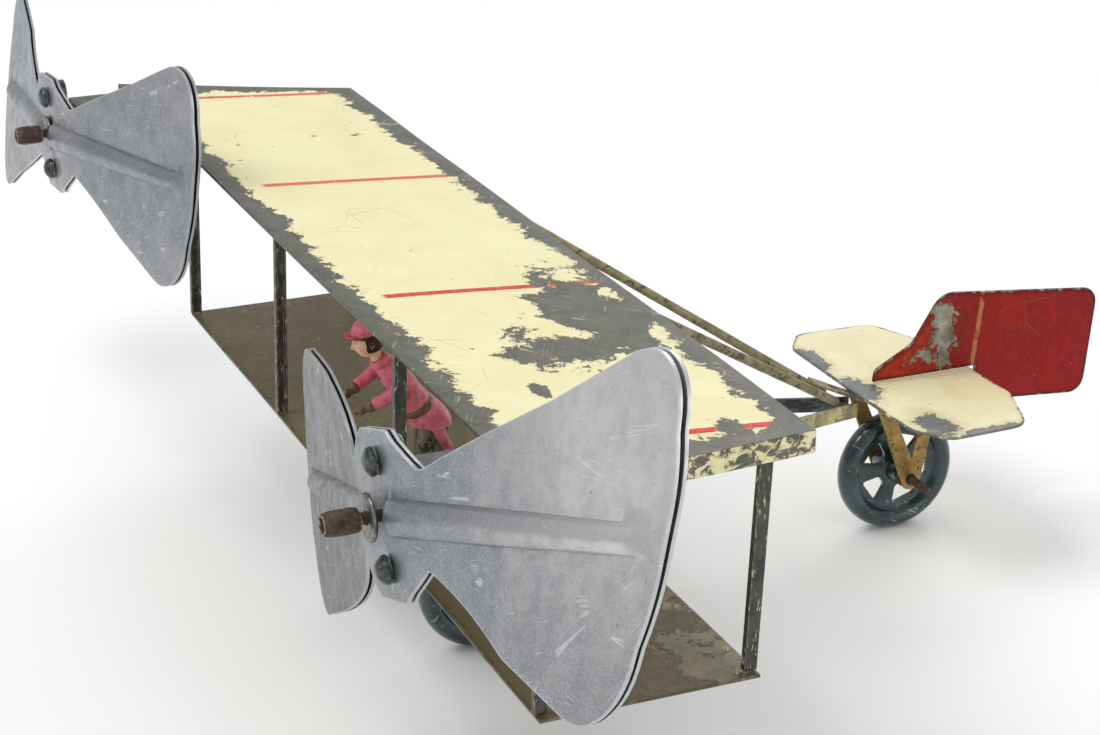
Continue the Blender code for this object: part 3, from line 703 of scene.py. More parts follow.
MATERIALS = {
    "top_wing": chipped_paint(
        "worn_cream_top",
        (237, 229, 182),
        (223, 210, 152),
        band=4.3,
        wander=15.0,
        patches=(
            (50.0, -36.0, 20.0, 9.0, 6.0),
            (66.0, -47.0, 8.0, 11.0, 4.0),
            (83.0, -60.0, 3.2, 1.6, 6.0),
            (-61.0, -29.0, 3.0, 2.0, 6.0),
            (104.0, -37.0, 5.0, 3.0, 5.0),
            (117.0, -62.0, 6.0, 12.0, 5.0),
            (-119.0, -45.0, 11.0, 40.0, 9.0),
        ),
        decorate=stripes,
        size=8.0,
        speckled_lip=True,
    ),
    "lower_wing": chipped_paint(
        "worn_olive_tin",
        (105, 95, 65),
        (80, 69, 44),
        band=0.2,
        wander=3.0,
        patches=((88.0, -38.0, 12.0, 7.0, 0.35), (60.0, -32.0, 16.0, 4.0, 0.4)),
        chip=0.67,
        tin=((86, 80, 58), (126, 118, 92)),
        gloss=0.4,
        shine=0.25,
        size=9.0,
    ),
    "tailplane": chipped_paint(
        "worn_cream_tail",
        (236, 228, 186),
        (222, 206, 156),
        band=0.35,
        wander=2.2,
        patches=(
            (-18.0, 45.0, 7.0, 2.6, 1.0),
            (25.0, 50.5, 6.0, 3.6, 1.0),
            (31.5, 61.0, 2.0, 10.0, 0.9),
            (2.0, 46.0, 6.0, 3.6, 1.2),
        ),
        tin=((84, 90, 92), (124, 130, 130)),
        size=3.5,
    ),
    "rudder": chipped_paint(
        "worn_red_rudder",
        (156, 20, 14),
        (124, 14, 10),
        band=0.15,
        wander=2.2,
        patches=((66.5, 42.5, 2.6, 8.5, 0.5), (63.5, 37.0, 3.0, 1.6, 0.3)),
        chip=0.72,
        tin=((62, 60, 52), (186, 180, 168)),
        plane="yz",
        decorate=rudder_line,
        gloss=0.38,
        size=3.0,
        shine=0.2,
    ),
    "strut": flaked_metal("flaked_strut_tin", (88, 87, 80), (206, 196, 160), 0.585, 0.7, stretch=(1, 1, 0.3)),
    "bracket": flaked_metal("bracket_tin", (112, 114, 108), (196, 188, 158), 0.68, 1.6),
    "boom": flaked_metal("boom_lacquer", (156, 142, 102), (84, 74, 50), 0.56, 1.8, 0.25, ALONG_BOOM, 0.42),
    "boom_dark": flaked_metal("boom_grey", (92, 104, 108), (42, 44, 44), 0.52, 1.6, 0.3, ALONG_BOOM, 0.42),
    "boom_pale": flaked_metal(
        "boom_pale", (214, 202, 142), (150, 146, 122), 0.54, 3.0, 0.1, ALONG_BOOM, 0.45
    ),
    "leg": flaked_metal("gold_leg", (178, 142, 66), (104, 76, 34), 0.58, 1.4, 0.25, (1, 1, 1), 0.38),
    "wheel": glossy_enamel("wheel_enamel"),
    "rust": rust("rusty_steel"),
    "steel": dark_steel("dark_steel"),
    "washer": dark_steel("washer_steel", (134, 132, 122), 0.26),
    "aluminium": aluminium("blade_aluminium"),
    "coat": figure_paint("coat_enamel", (218, 112, 126), (186, 78, 96)),
    "trousers": figure_paint("trouser_enamel", (214, 120, 130), (176, 82, 96)),
    "cap": figure_paint("cap_enamel", (226, 118, 138), (190, 76, 100), 0.5, 0.68),
    "black": figure_paint("black_enamel", (26, 24, 24), (40, 36, 34), 0.2, 0.68, (110, 100, 90), 0.3),
    "glove": figure_paint("glove_enamel", (112, 82, 40), (74, 54, 28), 0.4, 0.70),
    "hair": figure_paint("hair_enamel", (78, 48, 30), (52, 32, 22), 0.4, 0.74, (120, 96, 80), 0.4, 0.8),
    "head": painted_head("painted_head"),
    "box": flaked_metal("box_tin", (146, 144, 130), (60, 58, 52), 0.54, 2.6, 0.3, (1, 1, 1), 0.42),
}


# ---- Airframe ----


def make_sheets_and_struts():
    squares = ((0, 4.0), (1, 3.0))
    detailed_copy("top_wing_panel", "top_wing", bevel=0.2, grid=squares, wave=0.25)
    detailed_copy("lower_wing_panel", "lower_wing", bevel=0.15, grid=squares, wave=0.2)
    detailed_copy("tailplane", "tailplane", bevel=0.18, cell=2.0)
    detailed_copy("rudder", "rudder", bevel=0.2, cell=2.0)
    detailed_copy("tail_bracket", "boom", bevel=0.12, cell=1.5)
    detailed_copy("pilot_seat_box", "box", bevel=0.35, cell=1.2)
    for side_name, _ in SIDES:
        for place in ("front", "rear"):
            for rank in ("outer", "inner"):
                detailed_copy(f"{place}_{rank}_strut_{side_name}", "strut", cell=2.0)
        look = "boom_dark" if side_name == "right" else "boom_pale"
        detailed_copy(f"lower_boom_{side_name}", look, bevel=0.15)
        for leg in ("tail_fork", "front_leg"):
            detailed_copy(f"{leg}_{side_name}", "leg", bevel=0.14, cell=1.2)
        detailed_copy(f"propeller_bracket_{side_name}", "bracket", bevel=0.12, cell=2.0)


def axis_ends(node):
    """The middles of a straight CAD bar's two ends."""
    spots = [vert.co.copy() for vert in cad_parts[node].data.vertices]
    middle = sum(spots, Vector()) / len(spots)
    far = max(spots, key=lambda spot: (spot - middle).length)
    run = (far - middle).normalized()
    ends = []
    for sign in (-1, 1):
        reach = max(sign * (spot - middle).dot(run) for spot in spots)
        ring = [spot for spot in spots if sign * (spot - middle).dot(run) > reach - 2 * BAR_RADIUS * MM]
        ends.append(sum(ring, Vector()) / len(ring))
    return ends


def make_bars():
    bars = (
        ("upper_boom_left", 0.92, 24, 6.0, 0.05, "boom", "boom_paint"),
        ("upper_boom_right", 0.92, 24, 6.0, 0.05, "boom", "boom_paint"),
        ("front_axle", 0.9, 28, 1.5, 0.06, "rust", "rusty_steel"),
        ("tail_axle", 0.9, 28, 1.5, 0.06, "rust", "rusty_steel"),
    )
    for node, radius, sides, lump_size, lump_height, look, slot in bars:
        shape = bar_between(*axis_ends(node), radius, sides, 40)
        roughen(shape, lump_size, lump_height)
        finish_piece("detailed_" + node, shape, look, (node,))


# ---- Wheels ----


def wheel_shape(hub_half):
    profile = [(WHEEL_BORE, -hub_half)]
    profile += arc((2.1, -hub_half + 0.3), 0.3, -90, 0, 3)
    profile += [(2.4, -0.9)] + arc((2.8, -0.9), 0.4, 180, 90, 3)
    profile += [(8.6, -0.5), (9.0, -0.7), (9.4, -1.3), (9.9, -2.1)]
    profile += [(10.5, -2.5), (11.3, -2.6), (12.1, -2.3), (12.8, -1.55), (13.12, -0.8)]
    profile += [(WHEEL_RADIUS, 0.0)]
    mirrored = [(radius, -along) for radius, along in reversed(profile[:-1])]
    return turned(profile + mirrored, 96)


def window_cutters():
    """Five rounded windows through the web, square to Y."""
    shape = bmesh.new()
    for k in range(5):
        middle = 2 * math.pi * (k + 0.5) / 5
        outline = []
        corners = ((4.1, -17, 0.7), (8.2, -21, 1.0), (8.2, 21, 1.0), (4.1, 17, 0.7))
        polar = []
        for radius, degrees, round_off in corners:
            angle = middle + math.radians(degrees)
            polar.append((Vector((radius * math.cos(angle), radius * math.sin(angle))), round_off))
        for i, (corner, round_off) in enumerate(polar):
            back = (polar[i - 1][0] - corner).normalized()
            ahead = (polar[(i + 1) % 4][0] - corner).normalized()
            for step in range(7):
                share = step / 6
                first = corner + back * round_off * (1 - share)
                outline.append(first.lerp(corner + ahead * round_off * share, share))
        rings = []
        for along in (-3.2, 3.2):
            rings.append([shape.verts.new(Vector((spot.x, along, spot.y)) * MM) for spot in outline])
        join_rings(shape, rings)
        shape.faces.new(rings[0])
        shape.faces.new(rings[1])
    return shape


def cut_shape(shape, cutter_shape):
    """The first shape less the second, as a bmesh."""
    for part in (shape, cutter_shape):
        bmesh.ops.recalc_face_normals(part, faces=part.faces)
    target = mesh_object("cut_target", shape)
    cutter = mesh_object("cutter", cutter_shape)
    modifier = target.modifiers.new("cut", "BOOLEAN")
    modifier.operation = "DIFFERENCE"
    modifier.solver = "EXACT"
    modifier.object = cutter
    bpy.context.view_layer.update()
    graph = bpy.context.evaluated_depsgraph_get()
    result = bmesh.new()
    result.from_mesh(target.evaluated_get(graph).to_mesh())
    for obj in (target, cutter):
        mesh = obj.data
        bpy.data.objects.remove(obj)
        bpy.data.meshes.remove(mesh)
    bmesh.ops.remove_doubles(result, verts=result.verts, dist=2e-6)
    return result


def make_wheels():
    turn = Matrix.Rotation(math.radians(-90), 4, "Z")
    wheels = (
        ("front_wheel_left", FRONT_WHEEL_X, FRONT_WHEEL_Y, 4.2),
        ("front_wheel_right", -FRONT_WHEEL_X, FRONT_WHEEL_Y, 4.2),
        ("tail_wheel", 0.0, TAIL_WHEEL_Y, 5.2),
    )
    for name, x, y, hub_half in wheels:
        shape = cut_shape(wheel_shape(hub_half), window_cutters())
        sharp = [
            edge for edge in sharp_edges(shape, 50)
            if all(3.2 * MM < math.hypot(vert.co.x, vert.co.z) < 9.2 * MM for vert in edge.verts)
        ]
        soften(shape, sharp, 0.12)
        placed(shape, Matrix.Translation(at(x, y, WHEEL_Z)) @ turn)
        finish_piece("detailed_" + name, shape, "wheel", (name,), name + "_body")


# ---- Propellers ----


def blade_half_width(r, fullness):
    """Half width of a blade sheet at a distance from the shaft: hub tab, waist, fan and rounded tip."""
    tab, waist = (5.5, 12.4), (14.5, 6.8)
    corner_r, corner_w, corner = BLADE_RADIUS - 11.3, 12.6, 9.4
    edge_end = (corner_r - 3.0, corner_w + math.sqrt(corner**2 - 9.0))
    if r <= tab[0]:
        return tab[1]
    if r <= waist[0]:
        share = (r - tab[0]) / (waist[0] - tab[0])
        return tab[1] + share * (waist[1] - tab[1])
    if r <= edge_end[0]:
        share = ((r - waist[0]) / (edge_end[0] - waist[0])) ** (1 / (1 + fullness))
        return waist[1] + share * (edge_end[1] - waist[1])
    if r <= corner_r + corner:
        return corner_w + math.sqrt(max(corner**2 - (r - corner_r) ** 2, 0.0))
    left = max(BLADE_RADIUS - r, 0.0) / (BLADE_RADIUS - corner_r - corner)
    return 3.0 + (corner_w - 3.0) * math.sqrt(left)


def rib_half_width(r):
    return 3.0 - 1.1 * min(r / 68.0, 1.0)


def ramp(r):
    return min(max((abs(r) - 12.0) / 30.0, 0.0), 1.0)


def sheet_offset(r, w, cone, pitch):
    """How far back a sheet lies at a spot: cone, pitch and the pressed half-round rib."""
    size = abs(r)
    back = max(size - 8.0, 0.0) * math.tan(cone) + w * math.tan(pitch) * ramp(r)
    across = min(abs(w) / rib_half_width(size), 1.0)
    near = min(max((size - 4.0) / 1.6, 0.0), 1.0)
    far = min(max((70.0 - size) / 12.0, 0.0), 1.0)
    rise = RIB_HEIGHT * near * near * (3 - 2 * near) * far * (2 - far)
    return back - rise * math.sqrt(max(1 - across**1.7, 0.0))


def station_list():
    radii = [0.0, 1.5, 3.0, 4.0, 4.6, 5.2, 5.8, 6.4, 7.0, 8.0]
    r = 9.5
    while r < BLADE_RADIUS - 12.5:
        radii.append(r)
        r += 1.5
    steps = 26
    start = BLADE_RADIUS - 12.0
    radii += [start + 12.0 * math.sin(math.pi / 2 * i / steps) for i in range(steps + 1)]
    return [-r for r in reversed(radii[1:])] + radii


def across_list(half, rib):
    rib_steps, flat_steps = 8, 9
    flat = [rib + (half - rib) * i / flat_steps for i in range(1, flat_steps + 1)]
    inner = [rib * i / rib_steps for i in range(1, rib_steps + 1)]
    positive = inner + flat
    return [-w for w in reversed(positive)] + [0.0] + positive


def blade_sheet(front_y, set_of_blades):
    """One pressed sheet with two blades, as a closed body with softened rims, and its outline points."""
    stations = station_list()
    shape = bmesh.new()
    layers = []
    for depth in (0.0, BLADE_SHEET):
        rows = []
        for r in stations:
            *bend, fullness = set_of_blades[0] if r >= 0 else set_of_blades[1]
            half = blade_half_width(abs(r), fullness)
            rib = min(rib_half_width(abs(r)), half * 0.6)
            lean = math.copysign(BLADE_SKEW, r) * ramp(r)
            row = []
            for w in across_list(half, rib):
                dent = noise.noise(Vector((r * 0.05, w * 0.05, front_y))) * 0.22 * ramp(r)
                spot = (r + lean * w, front_y + depth + dent + sheet_offset(r, w, *bend), w)
                row.append(shape.verts.new(Vector(spot) * MM))
            rows.append(row)
        layers.append(rows)
    last = len(layers[0][0]) - 1
    for rows in layers:
        join_rows(shape, rows)
    front, back = layers
    for i in range(len(stations) - 1):
        for j in (0, last):
            shape.faces.new((front[i][j], front[i + 1][j], back[i + 1][j], back[i][j]))
    for i in (0, len(stations) - 1):
        for j in range(last):
            shape.faces.new((front[i][j], front[i][j + 1], back[i][j + 1], back[i][j]))
    rim = []
    for rows in layers:
        for j in (0, last):
            rim += [(rows[i][j], rows[i + 1][j]) for i in range(len(stations) - 1)]
        for i in (0, len(stations) - 1):
            rim += [(rows[i][j], rows[i][j + 1]) for j in range(last)]
    return shape, [shape.edges.get(pair) for pair in rim]


def mark_hub(obj, centre, reach):
    """Stores how near each point is to the hub, for the grime there."""
    values = [max(1.0 - (vert.co - centre).length / (reach * MM), 0.0) for vert in obj.data.vertices]
    layer = obj.data.attributes.new("hub", "FLOAT", "POINT")
    layer.data.foreach_set("value", values)


def bolt_shape(dome, seed):
    """A round-headed bolt, slightly hammered; the head is in front and the shank points back."""
    profile = [(0.0, -1.35 - dome)]
    profile += [(0.9, -1.3 - dome * 0.85), (1.5, -1.15 - dome * 0.5), (1.9, -0.95 - dome * 0.2)]
    profile += [(2.12, -0.75), (2.2, -0.45), (2.2, -0.12), (2.1, 0.0)]
    profile += [(1.1, 0.0), (1.05, 4.0), (0.8, 4.2), (0.0, 4.2)]
    shape = turned(profile, 40)
    for vert in shape.verts:
        if vert.co.y < 0:
            push = noise.noise(vert.co / (1.1 * MM) + Vector((seed, 0, 0)))
            vert.co += Vector((vert.co.x, 0, vert.co.z)) * push * 0.06
            vert.co.y += push * 0.12 * MM
    return shape


def sleeve_shape(front):
    """The rusty tube on the shaft's nose, flattened and ridged by a key."""
    profile = [(SHAFT_RADIUS, front + 5.4), (1.0, front + 0.3), (1.15, front)]
    profile += [(1.45, front - 0.1), (1.65, front + 0.2), (1.8, front + 0.6)]
    profile += [(1.95, front + 1.2 + 0.5 * i) for i in range(8)] + [(1.8, front + 5.4)]
    shape = turned(profile, 64)
    for vert in shape.verts:
        angle = math.atan2(vert.co.z, vert.co.x)
        size = math.hypot(vert.co.x, vert.co.z) / MM
        if size > 1.3:
            ridge = 0.05 * math.cos(9 * angle) + 0.10 * math.cos(2 * angle + 0.6)
            ridge += 0.10 * noise.noise(vert.co / (0.8 * MM))
            scale = 1 + ridge / size
            vert.co.x *= scale
            vert.co.z *= scale
    return shape


def washer_shape(front):
    profile = [(SHAFT_RADIUS + 0.15, front + 0.1), (SHAFT_RADIUS + 0.25, front)]
    profile += [(3.3, front), (3.55, front + 0.08), (3.7, front + 0.3), (3.7, front + 0.45)]
    profile += [(3.55, front + 0.64), (3.3, front + WASHER), (SHAFT_RADIUS + 0.15, front + WASHER)]
    return turned(profile, 64)


def ring_shape(bore, size, front, rear):
    """A tube round Y with softened outer corners."""
    soft = 0.2
    profile = [(bore, front), (size - soft, front), (size, front + soft)]
    profile += [(size, rear - soft), (size - soft, rear), (bore, rear)]
    return turned(profile)


def make_propeller(side_name, side, turn, set_of_blades, slack):
    body = f"propeller_{side_name}"
    place = Matrix.Translation(at(side * HUB_X, 0, HUB_Z)) @ Matrix.Rotation(-turn, 4, "Y")
    hub = place @ Vector((0, FRONT_SHEET_Y * MM, 0))

    def add(name, shape, look, node, body=body):
        placed(shape, place)
        finish_piece(f"{name}_{side_name}", shape, look, (f"{node}_{side_name}",), body)

    for name, y in (("front_sheet", FRONT_SHEET_Y), ("rear_sheet", REAR_SHEET_Y)):
        shape, rim = blade_sheet(y, set_of_blades)
        placed(shape, place)
        tree = edge_samples(rim)
        soften(shape, rim, 0.13)
        node = f"{name}_{side_name}"
        sheet = finish_piece(
            "pressed_" + node, shape, "aluminium", ("propeller_" + node,), body, tree, 55
        )
        mark_hub(sheet, hub, 17.0)
    detailed_copy(f"propeller_hub_bar_{side_name}", "steel", body, bevel=0.25, cell=1.5)
    for i, (rank, z) in enumerate((("upper", BOLT_OFFSET), ("lower", -BOLT_OFFSET))):
        seat = Matrix.Translation(Vector((0, FRONT_SHEET_Y - GAP, z)) * MM)
        shape = placed(bolt_shape(0.25 + 0.35 * i, 5 * i + side), seat)
        add(f"{rank}_bolt", shape, "steel", f"propeller_{rank}_bolt")
    washer_y = FRONT_SHEET_Y - GAP - slack - WASHER
    add("washer", washer_shape(washer_y), "washer", "propeller_washer")
    nose = washer_y - GAP - SLEEVE_LENGTH
    add("sleeve", sleeve_shape(nose), "rust", "propeller_shaft_sleeve")
    start = Vector((0, nose + 0.4, 0)) * MM
    end = Vector((0, SHAFT_REAR_Y, 0)) * MM
    shaft = bar_between(start, end, SHAFT_RADIUS, 28, 30)
    roughen(shaft, 1.2, 0.05)
    add("shaft", shaft, "rust", "propeller_shaft")
    add("collar", ring_shape(*COLLAR), "steel", "propeller_shaft_collar")
    add("bearing", ring_shape(*BEARING), "washer", "propeller_bearing", "airframe")


def make_propellers():
    def blade(cone, pitch, fullness):
        return math.radians(cone), math.radians(pitch), fullness

    make_propeller("left", 1, math.radians(19.2), (blade(8.9, 17.0, 0.0), blade(9.3, 5.0, 1.4)), 1.6)
    make_propeller("right", -1, math.radians(5.5), (blade(10.0, 6.4, 0.0), blade(4.6, 10.5, 0.0)), 0.0)


# ---- Pilot ----


def smooth_sections(sections, steps):
    """Eases between (centre, half width, half depth, lean) sections with a Catmull-Rom curve."""
    flat = [(*centre, half_x, half_depth, lean) for centre, half_x, half_depth, lean in sections]
    result = []
    last = len(flat) - 1
    for i in range(last):
        before, here = flat[max(i - 1, 0)], flat[i]
        there, after = flat[i + 1], flat[min(i + 2, last)]
        for step in range(steps):
            t = step / steps
            row = []
            for a, b, c, d in zip(before, here, there, after):
                row.append(
                    0.5 * (2 * b + (c - a) * t + (2 * a - 5 * b + 4 * c - d) * t * t
                           + (3 * b - a - 3 * c + d) * t ** 3)
                )
            result.append(row)
    result.append(list(flat[last]))
    return result


def closed_tube(shape, rings):
    join_rings(shape, rings)
    close_with_fan(shape, rings[0])
    close_with_fan(shape, rings[-1])
    return shape


def soft_loft(sections, sides=48, steps=6, relief=None):
    """A closed, smooth body; relief(angle, share) scales each point's distance from the middle."""
    rows = smooth_sections(sections, steps)
    shape = bmesh.new()
    rings = []
    for k, (x, y, z, half_x, half_depth, lean) in enumerate(rows):
        ring = []
        for i in range(sides):
            angle = 2 * math.pi * i / sides
            size = relief(angle, k / (len(rows) - 1)) if relief else 1.0
            forward = half_depth * math.sin(angle) * size
            offset = (half_x * math.cos(angle) * size, forward * math.cos(lean), forward * math.sin(lean))
            ring.append(shape.verts.new(at(x, y, z) + Vector(offset) * MM))
        rings.append(ring)
    return closed_tube(shape, rings)


def soft_limb(joints, side, sides=32, steps=8, folds=0.0):
    """A smooth round limb through (x, y, z, radius) joints, mirrored if asked, with a few cloth folds."""
    rows = smooth_sections([((side * x, y, z), radius, 0.0, 0.0) for x, y, z, radius in joints], steps)
    centres = [at(*row[:3]) for row in rows]
    shape = bmesh.new()
    rings = []
    for i, row in enumerate(rows):
        ahead = centres[min(i + 1, len(rows) - 1)] - centres[max(i - 1, 0)]
        turn = Vector((0, 0, 1)).rotation_difference(ahead)
        share = i / (len(rows) - 1)
        round_off = min(1.0, 0.72 + 4 * min(share, 1 - share))
        ring = []
        for k in range(sides):
            angle = 2 * math.pi * k / sides
            crease = 1 + folds * math.sin(share * 22 + 1.6 * math.sin(angle))
            spoke = Vector((math.cos(angle), math.sin(angle), 0)) * row[3] * round_off * crease * MM
            ring.append(shape.verts.new(centres[i] + turn @ spoke))
        rings.append(ring)
    return closed_tube(shape, rings)


def figure_piece(name, shape, look, node=None):
    replaced = ("pilot_" + node,) if node else ()
    return finish_piece("pilot_" + name, shape, look, replaced, smooth=60)


def paint_points(obj, colours):
    """Stores one painted colour for each point."""
    layer = obj.data.color_attributes.new("paint", "FLOAT_COLOR", "POINT")
    layer.data.foreach_set("color", [value for colour in colours for value in colour])


def paint_skin(obj):
    paint_points(obj, [srgb(*SKIN)] * len(obj.data.vertices))


def button(centre, facing, radius):
    """A small domed button with a rolled rim."""
    profile = [(0.0, -0.30), (0.45, -0.28), (0.7, -0.20), (0.8, -0.24), (0.95, -0.18)]
    profile += [(1.0, 0.0), (0.0, 0.1)]
    shape = turned([(size * radius, along * radius) for size, along in profile], 24)
    turn = Vector((0, -1, 0)).rotation_difference(facing).to_matrix().to_4x4()
    return placed(shape, Matrix.Translation(centre) @ turn)


def bell(value, middle, width):
    return math.exp(-(((value - middle) / width) ** 2))


HEAD_MIDDLE = (0.0, 7.5, 27.1)
HEAD_SIZE = (2.45, 2.75, 3.45)
HEAD_TILT = math.radians(8)
CAP_LEAN = 0.14
BODY_LEAN = math.radians(35)
SKIN = (222, 172, 140)
# How far each feature stands out in mm, then its middle and width across the face and up it, as shares.
FACE_RELIEF = (
    (0.62, 0, 0.13, -0.27, 0.13),  # nose tip
    (0.38, 0, 0.10, -0.10, 0.20),  # nose bridge
    (0.12, 0.16, 0.08, -0.33, 0.06),  # nostrils
    (-0.24, 0.38, 0.20, 0.02, 0.11),  # eye sockets
    (0.17, 0.38, 0.30, 0.18, 0.08),  # brows
    (0.15, 0.37, 0.13, 0.01, 0.055),  # eyes
    (0.12, 0.55, 0.20, -0.28, 0.18),  # cheeks
    (0.17, 0, 0.24, -0.52, 0.035),  # upper lip
    (0.19, 0, 0.20, -0.60, 0.045),  # lower lip
    (-0.10, 0, 0.26, -0.56, 0.018),  # mouth line
    (0.30, 0, 0.26, -0.84, 0.13),  # chin
)


def head_point(u, v):
    """A point of the head for (u, v) across and up the face, both in radians, in the head's own mm."""
    half_x, half_y, half_z = HEAD_SIZE
    level = math.sin(v)
    around = math.cos(v)
    jaw = 1.0 - 0.20 * max(-level - 0.15, 0.0)
    x = half_x * around * math.sin(u) * jaw
    y = -half_y * around * math.cos(u) * (1.0 - 0.06 * max(-level, 0.0))
    z = half_z * level
    front = max(math.cos(u), 0.0) * around
    side = x / half_x
    height = z / half_z
    push = 0.0
    for rise, middle, width, level_middle, level_width in FACE_RELIEF:
        push += rise * bell(abs(side), middle, width) * bell(height, level_middle, level_width)
    return Vector((x, y - push * front, z)), side, height, front


def head_paint(side, height, front):
    """The colour painted at a place on the face."""
    if front < 0.2:
        return SKIN
    away = abs(side) - 0.37
    lid = 0.055 * math.sqrt(max(1 - (away / 0.17) ** 2, 0.0))
    level = height - 0.01
    if abs(away) < 0.17 and abs(level) < lid:
        if math.hypot(away, level * 1.35) < 0.062:
            return (58, 44, 36)
        return (236, 228, 214)
    if abs(away) < 0.19 and 0 <= level - lid < 0.022:
        return (82, 54, 42)
    brow = 0.155 - 0.4 * (abs(side) - 0.36) ** 2
    if 0.16 < abs(side) < 0.60 and abs(height - brow) < 0.022:
        return (84, 54, 38)
    bow = (0.045 + 0.012 * math.cos(abs(side) * 28)) * (1 - (side / 0.24) ** 2)
    if abs(side) < 0.23 and -bow < height + 0.56 < bow:
        return (118, 50, 46) if abs(height + 0.56) < 0.008 else (186, 92, 84)
    glow = 0.5 * bell(abs(side), 0.58, 0.2) * bell(height, -0.3, 0.16)
    return tuple(a + (b - a) * glow for a, b in zip(SKIN, (222, 128, 112)))


def head_matrix():
    return Matrix.Translation(at(*HEAD_MIDDLE)) @ Matrix.Rotation(HEAD_TILT, 4, "X") @ Matrix.Scale(MM, 4)


def make_head():
    columns, rows = 220, 160
    shape = bmesh.new()
    colours = []
    rings = []
    for j in range(rows + 1):
        v = -math.pi / 2 + math.pi * (j + 0.5) / (rows + 1)
        ring = []
        for i in range(columns):
            share = 2 * i / columns - 1
            u = math.pi * (0.55 * share + 0.45 * share**3)
            spot, side, height, front = head_point(u, v)
            ring.append(shape.verts.new(spot))
            colours.append(srgb(*head_paint(side, height, front)))
        rings.append(ring)
    join_rings(shape, rings)
    shape.faces.new(rings[0])
    shape.faces.new(rings[-1])
    placed(shape, head_matrix())
    head = finish_piece("pilot_head_detailed", shape, "head", ("pilot_head",), smooth=80)
    paint_points(head, colours)


def make_ear(side_name, side):
    ear = bmesh.new()
    rings = []
    for size, out in ((0.35, 0.20), (0.62, 0.26), (0.80, 0.10), (0.92, 0.22), (1.0, 0.12), (0.86, -0.15)):
        ring = []
        for i in range(24):
            angle = 2 * math.pi * i / 24
            taper = 1.0 - 0.22 * max(-math.sin(angle), 0.0)
            x = side * (HEAD_SIZE[0] * 0.96 + out)
            y = 0.15 + 0.48 * size * math.cos(angle) * taper + 0.1 * math.sin(angle)
            ring.append(ear.verts.new((x, y, -0.35 + 0.85 * size * math.sin(angle))))
        rings.append(ring)
    join_rings(ear, rings)
    ear.faces.new(rings[0])
    ear.faces.new(rings[-1])
    placed(ear, head_matrix())
    paint_skin(figure_piece(f"ear_{side_name}", ear, "head"))


def make_hair():
    hair = bmesh.new()
    half_x, half_y, half_z = HEAD_SIZE
    rows = []
    for j in range(25):
        v = math.radians(-38 + 88 * j / 24)
        row = []
        for i in range(65):
            u = math.radians(68 + 224 * i / 64)
            lift = 1.075 + 0.018 * math.sin(u * 26 + 3 * math.sin(v * 5))
            edge = min(i, 64 - i) / 6
            lift -= 0.07 * max(1 - edge, 0.0) + 0.07 * max(1 - j / 3, 0.0)
            x = half_x * math.cos(v) * math.sin(u)
            y = -half_y * math.cos(v) * math.cos(u)
            row.append(hair.verts.new(Vector((x, y, half_z * math.sin(v))) * lift))
        rows.append(row)
    join_rows(hair, rows)
    bmesh.ops.solidify(hair, geom=hair.faces[:], thickness=0.35)
    placed(hair, head_matrix())
    figure_piece("hair", hair, "hair")


def make_cap():
    crown = [
        ((0, 7.5, 28.2), 2.62, 2.85, CAP_LEAN),
        ((0, 7.4, 28.8), 2.72, 2.95, CAP_LEAN),
        ((0, 7.5, 29.3), 2.62, 2.85, CAP_LEAN),
        ((0, 7.55, 29.5), 2.74, 2.95, CAP_LEAN),
        ((0, 7.7, 30.3), 2.60, 2.75, CAP_LEAN),
        ((0, 7.9, 30.9), 1.95, 2.1, CAP_LEAN),
        ((0, 8.0, 31.15), 0.9, 1.0, CAP_LEAN),
    ]
    shape = soft_loft(crown, 64, 6, lambda angle, share: 1 + 0.012 * math.cos(8 * angle) * share)
    figure_piece("cap_crown", shape, "cap", "cap")

    peak = bmesh.new()
    half_turn = math.radians(62)
    rows = []
    for k in range(9):
        out = k / 8
        reach = 2.5 + 1.75 * k / 8
        row = []
        for i in range(33):
            angle = half_turn * (i / 16 - 1)
            full = 1 - 0.42 * abs(angle / half_turn) ** 3 * out
            x = reach * math.sin(angle) * (0.98 if k else 0.95) * full
            y = 7.4 - reach * math.cos(angle) * full * 1.04
            z = 28.5 - 0.30 * out**1.5 - 0.1 * abs(math.sin(angle)) * out
            row.append(peak.verts.new(at(x, y, z)))
        rows.append(row)
    join_rows(peak, rows)
    bmesh.ops.solidify(peak, geom=peak.faces[:], thickness=0.22 * MM)
    figure_piece("cap_peak", peak, "cap")

    # A black band at the foot of the cap: partly the dark hair showing there, partly painted shade for the
    # shadow under the cap.
    band = [
        ((0, 7.5, 27.95), 2.55, 2.80, CAP_LEAN),
        ((0, 7.5, 28.1), 2.70, 2.95, CAP_LEAN),
        ((0, 7.45, 28.5), 2.78, 3.02, CAP_LEAN),
        ((0, 7.45, 28.75), 2.70, 2.94, CAP_LEAN),
    ]
    figure_piece("cap_band_and_shade", soft_loft(band, 64, 4), "black")


def coat_relief(angle, share):
    hem = max(1 - share * 2.2, 0.0)
    folds = 0.045 * hem * math.cos(7 * angle + 1.2)
    waist = -0.02 * bell(share, 0.42, 0.05)
    creases = 0.014 * math.sin(share * 40 + 3 * math.sin(angle * 2)) * bell(share, 0.45, 0.2)
    return 1 + folds + waist + creases


